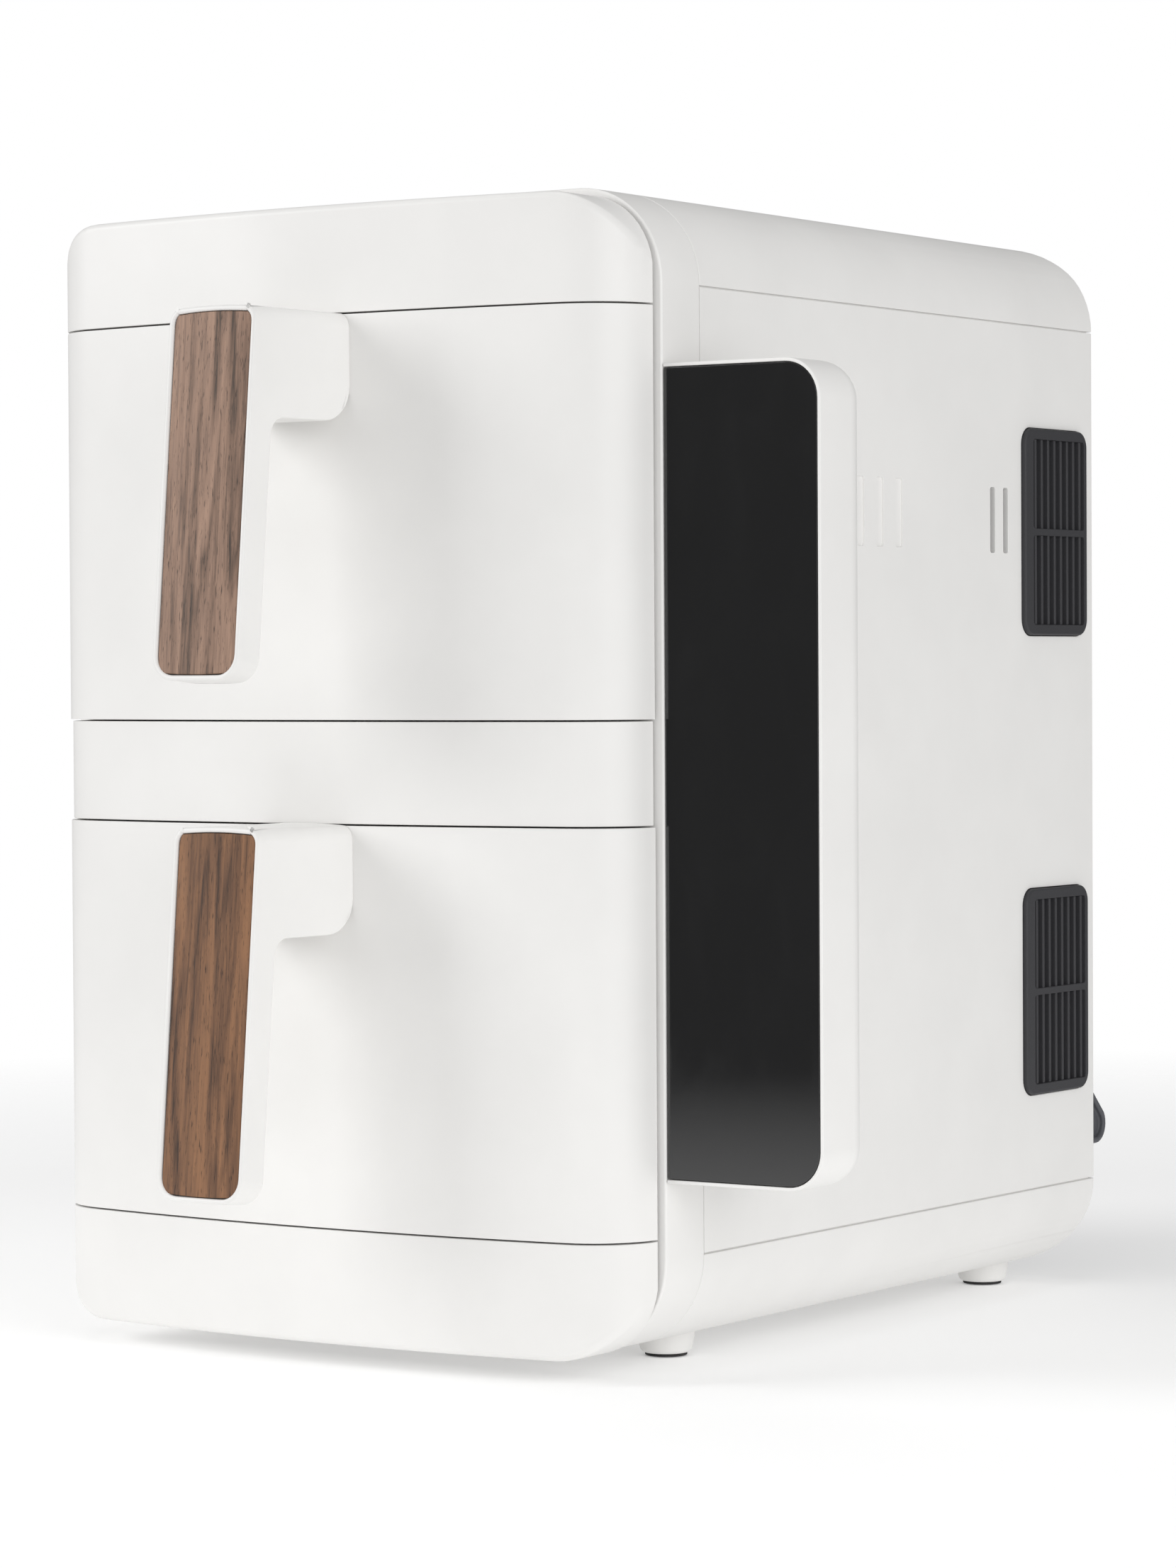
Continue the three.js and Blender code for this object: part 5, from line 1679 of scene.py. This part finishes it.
    def back_plate(self, base: float) -> Work:
        """The plate behind the drawer's front, with its screw seats and a pressed frame."""
        low, high = (base + level for level in self.plate_heights)
        back = self.plate_depth[1]
        block = BOW.block(HULL.wall + 0.3, back + BowedFront.spare)
        plate = block.band(Axis.Z, low, high).band(Axis.Y, *self.plate_depth)
        plate.cut(pressed_ring((0, (low + high) / 2), self.plate_frame, self.plate_groove, back, 5))
        radius, depth = self.plate_seat
        for spot in self.plate_screws(base):
            plate.cut(Work.rod(radius, Axis.Y, spot, (back - depth, back + CLEAR), 28))
        return plate.soften(0.25, 2, 50)

    def plate_screws(self, base: float) -> list[Flat]:
        """Where the back plate's screws are."""
        return [(x, base + z) for x, z in self.screws]

    def build(self) -> None:
        """Makes both drawers' insides."""
        for row, base in BowedFront().rows.items():
            self.body = f"{row}_drawer"
            plate = self.back_plate(base)
            self.deliver(plate, f"{row}_drawer_liner_plate", GREY, f"{row}_drawer_back_plate")
            heads = [screw(spot, self.plate_depth[1] - 1.5) for spot in self.plate_screws(base)]
            self.deliver(joined(heads), f"{row}_drawer_screws", TURNED_STEEL)
            self.deliver(self.basket(base), f"{row}_coated_basket", NON_STICK, f"{row}_basket")
            tray, rising = self.tray(base), f"{row}_plate"
            self.deliver(tray, f"{row}_crisper_tray", NON_STICK, f"{row}_crisper_plate", body=rising)
            self.deliver(self.bumpers(base), f"{row}_tray_bumpers", SILICONE, body=rising)


# ---- chambers


class Tube:
    """Draws a round tube by extruding and spinning a disc."""

    def __init__(self, radius: float, place: Vector, sides: int = 18) -> None:
        """Lays the disc down, square to the y axis."""
        bpy.ops.object.select_all(action="DESELECT")
        bpy.ops.mesh.primitive_circle_add(
            vertices=sides, radius=radius, fill_type="NGON", location=place, rotation=(math.pi / 2, 0, 0)
        )
        self.work = Work.taken()
        bpy.ops.object.mode_set(mode="EDIT")
        bpy.ops.mesh.select_mode(type="FACE")
        bpy.ops.mesh.select_all(action="SELECT")

    def ahead(self, step: Point) -> "Tube":
        """Draws a straight stretch."""
        bpy.ops.mesh.extrude_region_move(TRANSFORM_OT_translate={"value": step})
        return self

    def bend(self, centre: Vector, axis: Vector, degrees: float, steps: int) -> "Tube":
        """Draws a bend, right-handed about the axis."""
        bpy.ops.mesh.spin(steps=steps, angle=-math.radians(degrees), center=centre, axis=axis)
        return self

    def done(self) -> Work:
        """The finished tube."""
        bpy.ops.object.mode_set(mode="OBJECT")
        return self.work.outward()


@dataclass
class Chamber(Maker):
    """A cooking chamber: its liner, the heater, the fan guard, the two fans, their shaft and the motor.

    Heights are above the drawer's bottom gap line.
    """

    axis_rise: float = 69.15
    half_width: float = 107
    heights: Flat = (1, 137.3)
    ends: Flat = (3.6, 233)
    wall: float = 1.2
    corner: float = 10
    rail: Point = (79, 3, 1.3)
    rail_ends: Flat = (8.6, 191.1)
    side_beads: Flat = (38, 98)
    bead: Flat = (2.0, 7)
    bead_ends: Flat = (24, 206)
    shaft: float = 4
    shaft_ends: Flat = (212.8, 278.6)
    heater: float = 60
    heater_tube: float = 3.2
    heater_y: float = 217.8
    heater_end: float = 241.3
    heater_bend: float = 7
    leg: float = 16
    leg_hole: float = 4.2
    pin: float = 1.3
    guard: float = 63.5
    guard_front: float = 203.6
    guard_slots: int = 9
    guard_slot: Point = (14, 49.5, 7)
    guard_slit: Point = (30, 51.5, 3.6)
    guard_dish: Flat = (8, 10.5)
    post: Flat = (2.2, 52.4)
    post_angles: tuple[float, ...] = (90, 210, 330)
    fan: float = 48
    fan_ends: Flat = (210.8, 224.8)
    blades: int = 8
    blade_start: float = 12
    blade_sag: float = 45
    blade_wall: float = 1.2
    motor: float = 28
    motor_ends: Flat = (235.6, 261.6)
    lug: Point = (9, 12, 2.5)
    lug_end: float = 5.5
    ridges: int = 8
    bell_holes: int = 6
    bell_hole: Flat = (3.2, 16)
    cooler: float = 41.6
    cooler_ends: Flat = (265.6, 275.6)
    cooler_blades: int = 7
    cooler_blade: Flat = (5.1, 0.6)
    cooler_pitch: float = 40
    cooler_twist: float = 20

    def rear_holes(self, axis: float, ends: Flat) -> list[Work]:
        """Cutters for the shaft's hole and the two holes for the heater's legs."""
        rise, hole = math.sqrt(self.heater**2 - self.leg**2), self.leg_hole
        spots = ((0, axis, self.shaft + 2), (-self.leg, axis + rise, hole), (self.leg, axis + rise, hole))
        return [Work.rod(radius, Axis.Y, (x, z), ends, 28) for x, z, radius in spots]

    def liner(self, base: float) -> Work:
        """The liner: a folded box with rounded rear edges, floor rails and pressed side beads."""
        low, high = (base + level for level in self.heights)
        front, back = self.ends
        spot, size = (0, (low + high) / 2), (2 * self.half_width, high - low)
        liner = rounded_bar(Axis.Y, spot, size, self.corner, self.ends, 8)
        bend = 3
        liner.round_edges(beyond(Axis.Y, back - HAIR), bend, 4)
        inner = [length - 2 * self.wall for length in size]
        ends = (front - CLEAR, back - self.wall)
        hollow = rounded_bar(Axis.Y, spot, inner, self.corner - self.wall, ends, 8)
        hollow.round_edges(beyond(Axis.Y, back - self.wall - HAIR), bend - self.wall, 4)
        liner.cut(hollow, *self.rear_holes(base + self.axis_rise, (back - 8, back + CLEAR)))
        x, wide, high_rail = self.rail
        floor = low + self.wall
        rail = rounded_bar(Axis.Y, (x, floor), (wide, 2 * high_rail), 1.2, self.rail_ends, 5)
        rail.soften(0.3, 2, 60)
        side = self.half_width - 0.3
        beads = [
            rounded_bar(Axis.Y, (way * side, low + rise), self.bead, 0.95, self.bead_ends, 4)
            for rise in self.side_beads
            for way in (-1, 1)
        ]
        return liner.join(rail.twin().flip(), rail, *beads)

    def element(self, axis: float) -> Work:
        """The heater: a ring of tube whose two ends bend back through the rear wall."""
        radius, bend, y = self.heater, self.heater_bend, self.heater_y
        rise = math.sqrt(radius**2 - self.leg**2)
        angle = math.atan2(rise, self.leg) - math.atan(bend / radius)
        start = Vector((radius * math.cos(angle), 0, radius * math.sin(angle)))
        towards = Vector((math.sin(angle), 0, -math.cos(angle)))
        heart = Vector((0, y, axis))
        stretch = self.heater_end - 3 - y - bend
        tube = Tube(self.heater_tube, heart + start - towards * bend + Vector((0, bend + stretch, 0)))
        tube.ahead((0, -stretch, 0))
        tube.bend(heart + start + Vector((0, bend, 0)), Vector((-towards.z, 0, towards.x)), 90, 8)
        tube.bend(heart, Vector((0, 1, 0)), 180 + 2 * math.degrees(angle), 84)
        end = Vector((-start.x, 0, start.z))
        onward = Vector((towards.x, 0, -towards.z))
        tube.bend(heart + end + Vector((0, bend, 0)), Vector((-onward.z, 0, onward.x)), 90, 8)
        element = tube.ahead((0, stretch, 0)).done()
        leg = start - towards * bend
        ends = (self.heater_end - 4, self.heater_end)
        pins = [
            Work.rod(self.pin, Axis.Y, (way * leg.x, axis + leg.z), ends, 16).soften(0.3)
            for way in (-1, 1)
        ]
        return element.soften(0.4, 2, 60).join(*pins)

    def guard_disc(self, axis: float) -> Work:
        """The guard: a dished disc with long and short slots, on three posts."""
        front, r, bend = self.guard_front, self.guard, 2
        well, slope = self.guard_dish
        wall, rim = 1.1, 4.2
        pen = Pen(Axis.X, (front + 0.5, axis), 0).line((front + 0.5, axis + well), (front, axis + slope))
        pen.line((front, axis + r - bend)).arc((front + bend, axis + r - bend), -90, 5)
        pen.line((front + rim, axis + r), (front + rim, axis + r - wall), (front + bend, axis + r - wall))
        pen.arc((front + bend, axis + r - bend), 90, 4)
        pen.line((front + 1.2, axis + slope), (front + 1.7, axis + well), (front + 1.7, axis))
        disc = pen.lathe(Axis.Y, (0, 0, axis), 72)
        for (low, high, width), start in ((self.guard_slot, 0.0), (self.guard_slit, 0.5)):
            spot, size, ends = ((low + high) / 2, axis), (high - low, width), (front - CLEAR, front + FAR)
            for index in range(self.guard_slots):
                slot = rounded_bar(Axis.Y, spot, size, width / 2 - 0.1, ends, 4)
                disc.cut(slot.turn((index + start) * 360 / self.guard_slots, Axis.Y, (0, 0, axis)))
        radius, away = self.post
        ends = (front + 0.6, self.ends[1] - self.wall - 0.3)
        posts = []
        for degrees in self.post_angles:
            turned = math.radians(degrees)
            spot = (away * math.cos(turned), axis + away * math.sin(turned))
            posts.append(Work.rod(radius, Axis.Y, spot, ends, 20).soften(0.3))
            posts.append(screw(spot, front + 0.1, 2.6, ahead=True))
        return disc.soften(0.2, 2, 50).join(*posts)

    def impeller(self, axis: float) -> Work:
        """The fan in the chamber: curved blades on a dished disc with a hub."""
        front, back = self.fan_ends
        r, bore, hub = self.fan, self.shaft + 0.3, 6.8
        pen = Pen(Axis.X, (back, axis + bore), 0).line((front + 3, axis + bore), (front + 3, axis + hub))
        pen.arc((front + 4, axis + hub), -90, 3).line((back - 2.6, axis + 7.8), (back - 1.2, axis + 9.6))
        pen.line((back - 1.2, axis + r - 1.6), (back - 2.4, axis + r - 0.6), (back - 2.4, axis + r))
        pen.line((back - 1.4, axis + r), (back, axis + r - 1.2), (back, axis + bore))
        fan = pen.lathe(Axis.Y, (0, 0, axis), 64)
        inner, outer, sag = self.blade_start, self.fan - 2, self.blade_sag
        half = (outer - inner) / 2
        sweep = 2 * math.degrees(math.asin(half / math.hypot(half, sag)))
        pen = Pen(Axis.Y, (inner, axis), front).arc(((inner + outer) / 2, axis - sag), -sweep, 10)
        blade = pen.open_wall(back - front - 0.6, self.blade_wall)
        leading = centred(Axis.Y, front + 0.1, False)
        blade.round_edges(lambda edge: abs(run(edge).y) < 0.1 and leading(edge), 0.25, 2)
        return fan.join(blade.ringed(self.blades, Axis.Y, (0, 0, axis)))

    def spindle(self, axis: float) -> Work:
        """The shaft, with chamfered ends, two ring grooves and a flat."""
        front, back = self.shaft_ends
        r = self.shaft
        pen = Pen(Axis.X, (front, axis), 0).line((front, axis + r - 0.6), (front + 0.6, axis + r))
        wide, deep = 0.8, 0.5
        for y in (self.motor_ends[1] + 1, back - 2.2):
            pen.line((y, axis + r), (y, axis + r - deep), (y + wide, axis + r - deep), (y + wide, axis + r))
        pen.line((back - 0.6, axis + r), (back, axis + r - 0.6), (back, axis))
        spindle = pen.lathe(Axis.Y, (0, 0, axis), 36)
        flat_length = 11
        heights = (axis + r - 0.7, axis + r + CLEAR)
        return spindle.cut(Work.block((-CLEAR, CLEAR), (front - 1, front + flat_length), heights))

    def drive(self, axis: float) -> Work:
        """The motor: two end bells round a ridged stack, with lugs and cooling holes."""
        front, back = self.motor_ends
        r, bore = self.motor, self.shaft + 0.6
        pen = Pen(Axis.X, (front, axis + bore), 0).line((front, axis + r - 5))
        pen.arc((front + 3, axis + r - 5), -90, 4)
        start, end = front + 6, back - 7
        pen.line((start, axis + r - 2), (start, axis + r))
        step, deep = (end - start) / self.ridges, 0.5
        for index in range(self.ridges):
            y = start + index * step
            pen.line((y + step * 0.75, axis + r), (y + step * 0.8, axis + r - deep))
            pen.line((y + step * 0.95, axis + r - deep), (y + step, axis + r))
        pen.line((end, axis + r - 2), (back - 4, axis + r - 2)).arc((back - 4, axis + r - 6), -90, 6)
        pen.line((back, axis + 11), (back - 1.2, axis + 10), (back - 1.2, axis + bore), (front, axis + bore))
        drive = pen.lathe(Axis.Y, (0, 0, axis), 64)
        radius, away = self.bell_hole
        for index in range(self.bell_holes):
            hole = Work.rod(radius, Axis.Y, (away, axis), (back - CLEAR, back + CLEAR), 20)
            drive.cut(hole.turn((index + 0.5) * 360 / self.bell_holes, Axis.Y, (0, 0, axis)))
        out, high, thick = self.lug
        reach, through = r + out, (front - CLEAR, front + FAR)
        spots = [(way * (reach - self.lug_end), axis) for way in (-1, 1)]
        lugs = rounded_bar(Axis.Y, (0, axis), (2 * reach, high), self.lug_end, (front, front + thick), 6)
        for spot in spots:
            lugs.cut(Work.rod(2.1, Axis.Y, spot, through, 20))
        lugs.cut(Work.rod(r - 6, Axis.Y, (0, axis), through, 40))
        bolts = [screw(spot, front + thick + 0.05, 3.2) for spot in spots]
        return drive.soften(0.25, 2, 60).join(lugs.soften(0.3, 2, 50), *bolts)

    def cooling(self, axis: float) -> Work:
        """The cooling fan: twisted blades round a domed hub."""
        front, back = self.cooler_ends
        bore, hub = self.shaft + 0.3, self.shaft + 6
        pen = Pen(Axis.X, (front, axis + bore), 0).line((front, axis + hub - 1))
        pen.arc((front + 1, axis + hub - 1), -90, 4)
        pen.line((back - 3, axis + hub)).arc((back - 3, axis + hub - 3), -90, 5)
        rotor = pen.line((back, axis + bore), (front, axis + bore)).lathe(Axis.Y, (0, 0, axis), 48)
        half, thin = self.cooler_blade
        blade = Work.block((hub - 1.5, self.cooler), (-half, half), (-thin, thin))
        blade.round_edges(every(along(Axis.Z.value), centred(Axis.X, self.cooler - 1)), 3.5, 6)
        blade.soften(0.3, 2, 50)
        for x in range(int(hub), int(self.cooler), 4):
            with blade.edit():
                bpy.ops.mesh.bisect(plane_co=(x, 0, 0), plane_no=Axis.X.value, threshold=SLICED)
        twist = math.radians(self.cooler_twist)
        blade.modify("SIMPLE_DEFORM", {"deform_method": "TWIST", "deform_axis": "X", "angle": twist})
        blade.turn(self.cooler_pitch, Axis.X).move(0, (front + back) / 2, axis)
        return rotor.join(blade.ringed(self.cooler_blades, Axis.Y, (0, 0, axis)))

    def build(self) -> None:
        """Makes both chambers."""
        for row, base in BowedFront().rows.items():
            axis = base + self.axis_rise
            spinning = f"{row}_fan"
            self.deliver(self.liner(base), f"{row}_chamber_liner", LINER_STEEL, f"{row}_oven_liner")
            parts = (
                (self.element, "heater_tube", HOT_STEEL, "heating_element", self.body),
                (self.guard_disc, "guard_disc", LINER_STEEL, "fan_guard", self.body),
                (self.impeller, "impeller", SHEET_STEEL, "circulation_fan", spinning),
                (self.spindle, "spindle", TURNED_STEEL, "fan_shaft", spinning),
                (self.drive, "drive_motor", MOTOR_STEEL, "fan_motor", self.body),
                (self.cooling, "cooling_rotor", CHARCOAL, "cooling_fan", spinning),
            )
            for make, name, finish, node, body in parts:
                self.deliver(make(axis), f"{row}_{name}", finish, f"{row}_{node}", body=body)


@dataclass
class Partition(Maker):
    """The bulkhead behind the chambers, and the power board on it with its components."""

    ends: Flat = (233.3, 235.3)
    middle: float = 203.7
    board: Point = (96, 62, 1.6)
    board_front: float = 245.3
    inset: float = 5
    post: float = 3
    hole: float = 1.7
    rings: Flat = (44, 70)
    boxes: tuple[tuple, ...] = (
        ((-40, -22), (-24, -8), 15, 0.8),
        ((-40, -22), (-4, 12), 15, 0.8),
        ((-12, 14), (-26, -4), 18, 1.2),
        ((22, 42), (-26, -14), 12, 0.6),
        ((22, 42), (-8, -1), 9, 0.5),
        ((-14, -2), (8, 20), 4, 0.4),
    )
    cans: tuple[tuple, ...] = (((24, 16), 5.5, 16), ((37, 16), 4.5, 13), ((24, 3), 4, 12))
    sink: tuple[Flat, Flat, float] = ((0, 3), (6, 27), 20)
    sink_fin: Point = (13, 1.2, 3.3)
    sink_fins: int = 7

    @property
    def rear(self) -> float:
        """Where the components stand on the board's back."""
        return self.board_front + self.board[2] + 0.1

    def sheet(self) -> Work:
        """The bulkhead: a plate with pressed rings round its holes."""
        back = self.ends[1]
        plate = HULL.face(HULL.wall + 0.3, self.ends)
        chamber = Chamber()
        for base in BowedFront().rows.values():
            axis = base + chamber.axis_rise
            for radius in self.rings:
                ring = Work.rod(radius + 1, Axis.Y, (0, axis), (back - 0.5, back + CLEAR), 72)
                ring.cut(Work.rod(radius - 1, Axis.Y, (0, axis), (back - CLEAR, back + FAR), 72))
                plate.cut(ring)
            plate.cut(*chamber.rear_holes(axis, (self.ends[0] - CLEAR, back + CLEAR)))
        return plate.soften(0.25, 2, 50)

    def corners(self) -> list[Flat]:
        """Where the board's four posts stand."""
        x, z = (length / 2 - self.inset for length in self.board[:2])
        return [(side * x, self.middle + end * z) for side in (-1, 1) for end in (-1, 1)]

    def lacquered(self) -> Work:
        """The board, with round corners and screw holes."""
        wide, high, thick = self.board
        ends = (self.board_front, self.board_front + thick)
        board = rounded_bar(Axis.Y, (0, self.middle), (wide, high), 2, ends, 4)
        through = (ends[0] - 3, ends[1] + 3)
        return board.cut(*(Work.rod(self.hole, Axis.Y, spot, through, 16) for spot in self.corners()))

    def posts(self) -> Work:
        """The posts that carry the board, and their screws."""
        back = self.board_front + self.board[2]
        pieces = []
        for spot in self.corners():
            post = Work.rod(self.post, Axis.Y, spot, (self.ends[1] + 0.3, self.board_front - 0.05), 6)
            pieces += [post.soften(0.3), screw(spot, back + 0.05, 2.6)]
        return joined(pieces)

    def dark_parts(self) -> Work:
        """Relays, the mains filter, the transformer and the connectors as boxes, and three round cans."""
        y, z = self.rear, self.middle
        pieces = [
            Work.block(x, (y, y + deep), (z + rise[0], z + rise[1])).soften(soft, 3)
            for x, rise, deep, soft in self.boxes
        ]
        pieces += [self.can((x, z + rise), radius, y + deep) for (x, rise), radius, deep in self.cans]
        return joined(pieces)

    def can(self, spot: Flat, radius: float, end: float) -> Work:
        """A capacitor that reaches to y = end: a can with a crimped foot and a dished top."""
        (x, up), y, soft = spot, self.rear, 0.6
        side = up + radius
        pen = Pen(Axis.X, (y, up), x).line((y, side - 0.4), (y + 1.6, side))
        pen.line((y + 2.1, side - 0.5), (y + 2.6, side), (end - soft, side))
        pen.arc((end - soft, side - soft), -90, 3)
        pen.line((end, side - 1.6), (end - 0.4, side - 1.9), (end - 0.4, up))
        return pen.lathe(Axis.Y, (x, 0, up), 32)

    def heat_sink(self) -> Work:
        """The finned heat sink over the power switches."""
        x, (low, high), tall = self.sink
        reach, thick, pitch = self.sink_fin
        depth, low, high = (self.rear, self.rear + tall), self.middle + low, self.middle + high
        spine = Work.block(x, depth, (low, high))
        fin = Work.block((x[1], reach), depth, (low, low + thick))
        fins = fin.repeated([(0, 0, pitch * index) for index in range(self.sink_fins)])
        return spine.fuse(fins).soften(0.3, 2, 50)

    def build(self) -> None:
        """Makes the bulkhead and the board's pieces."""
        self.deliver(self.sheet(), "pressed_bulkhead", SHEET_STEEL, "rear_bulkhead")
        self.deliver(self.lacquered(), "power_board_plate", LACQUER, "power_board")
        self.deliver(self.posts(), "power_board_posts", BRASS)
        self.deliver(self.dark_parts(), "power_board_parts", CHIP)
        self.deliver(self.heat_sink(), "power_board_heat_sink", MOTOR_STEEL)


# ---- studio


@dataclass(frozen=True)
class Studio:
    """Camera, lights and floor.

    Places are in bench millimetres, and angles in degrees. The floor's and the soft boxes' sizes are
    in metres, and a box has a name, a place, what it is aimed at, its width and its power in watts.
    """

    camera: Point = (979.8, -1312.9, 238.35)
    azimuth: float = 33.95
    down: float = 1.39
    roll: float = -0.32
    lens: float = 108.1
    fill: float = 0.46
    mirrored: float = 0.17
    floor_radius: float = 1.6
    floor_level: float = -0.0002
    floor_fade: Flat = (0.55, 1.25)
    floor_glow: float = 0.22
    boxes: tuple[tuple, ...] = (
        ("left_box", (-1600, -1350, 1050), (0, 0, 200), 1.2, 22),
        ("right_box", (1800, -700, 560), (150, 120, 200), 1.5, 16),
        ("top_box", (0, 0, 1900), (0, 0, 200), 1.2, 5),
    )

    def add_camera(self) -> None:
        """The camera."""
        turn, dip, roll = (math.radians(a) for a in (self.azimuth, self.down, self.roll))
        ahead = Vector((-math.sin(turn) * math.cos(dip), math.cos(turn) * math.cos(dip), -math.sin(dip)))
        right = Vector((math.cos(turn), math.sin(turn), 0))
        up = right.cross(ahead)
        across = math.cos(roll) * right + math.sin(roll) * up
        upward = -math.sin(roll) * right + math.cos(roll) * up
        bpy.ops.object.camera_add()
        camera = bpy.context.active_object
        camera.name = "main_camera"
        basis = Matrix((across, upward, -ahead)).transposed().to_4x4()
        camera.matrix_world = Matrix.Translation(bench_origin() + Vector(self.camera) * MM) @ basis
        camera.data.lens = self.lens
        camera.data.sensor_width = 36
        camera.data.sensor_fit = "AUTO"
        camera.data.clip_end = 50
        bpy.context.scene.camera = camera

    def add_light(self, name: str, place: Point, aim: Point, width: float, watts: float) -> None:
        """One soft box."""
        start = bench_origin() + Vector(place) * MM
        bpy.ops.object.light_add(type="AREA", location=start)
        lamp = bpy.context.active_object
        lamp.name = name
        lamp.data.shape = "SQUARE"
        lamp.data.size = width
        lamp.data.energy = watts
        way = bench_origin() + Vector(aim) * MM - start
        lamp.rotation_euler = way.to_track_quat("-Z", "Y").to_euler()

    def add_floor(self) -> None:
        """A pale round floor that fades into the pale surroundings."""
        bpy.ops.object.select_all(action="DESELECT")
        bpy.ops.mesh.primitive_circle_add(
            vertices=96, radius=self.floor_radius, fill_type="NGON", location=(0, 0, self.floor_level)
        )
        floor = bpy.context.active_object
        floor.name = "studio_floor"
        paint = Sheet("floor_paper")
        away = paint.node("ShaderNodeVectorMath", {"operation": "LENGTH"}, {0: paint.spot()}, "Value")
        cloud = paint.spread(paint.noise(900, 2), MOST, WHOLE)
        floor.data.materials.append(
            paint.surface(
                Base_Color=paint.mix(cloud, tone(244, 244, 244), tone(247, 247, 247)),
                Roughness=0.9,
                Emission_Color=(1, 1, 1, 1),
                Emission_Strength=self.floor_glow,
                Alpha=paint.spread(away, self.floor_fade, (1, 0)),
            )
        )

    def add_world(self) -> None:
        """Even pale light from all round, and a white backdrop."""
        world = bpy.data.worlds.new("studio_world")
        world.use_nodes = True
        tree = world.node_tree
        light = tree.nodes["Background"]
        backdrop = tree.nodes.new("ShaderNodeBackground")
        for back in (light, backdrop):
            back.inputs["Color"].default_value = (1, 1, 1, 1)
        path = tree.nodes.new("ShaderNodeLightPath")
        dimmed = tree.nodes.new("ShaderNodeMapRange")
        dimmed.inputs["To Min"].default_value = self.fill
        dimmed.inputs["To Max"].default_value = self.mirrored
        tree.links.new(path.outputs["Is Glossy Ray"], dimmed.inputs["Value"])
        tree.links.new(dimmed.outputs[0], light.inputs["Strength"])
        either = tree.nodes.new("ShaderNodeMixShader")
        tree.links.new(path.outputs["Is Camera Ray"], either.inputs[0])
        tree.links.new(light.outputs[0], either.inputs[1])
        tree.links.new(backdrop.outputs[0], either.inputs[2])
        tree.links.new(either.outputs[0], tree.nodes["World Output"].inputs[0])
        bpy.context.scene.world = world
        bpy.context.scene.view_settings.view_transform = "Standard"

    def build(self) -> None:
        """Sets up the studio."""
        self.add_floor()
        self.add_world()
        self.add_camera()
        for box in self.boxes:
            self.add_light(*box)


def main() -> None:
    """Makes every sub-assembly in order, then the studio, and logs each piece's face count."""
    logging.basicConfig(level=logging.INFO, format="%(message)s")
    makers = [BowedFront(), RingFrame(), Covers(), Sides(), Feet(), Rear(), Handle(), Drawer()]
    makers += [ControlPod(), Chamber(), Partition()]
    for maker in makers:
        log.info("-- %s", type(maker).__name__)
        maker.build()
    Studio().build()


if __name__ == "__main__":
    main()
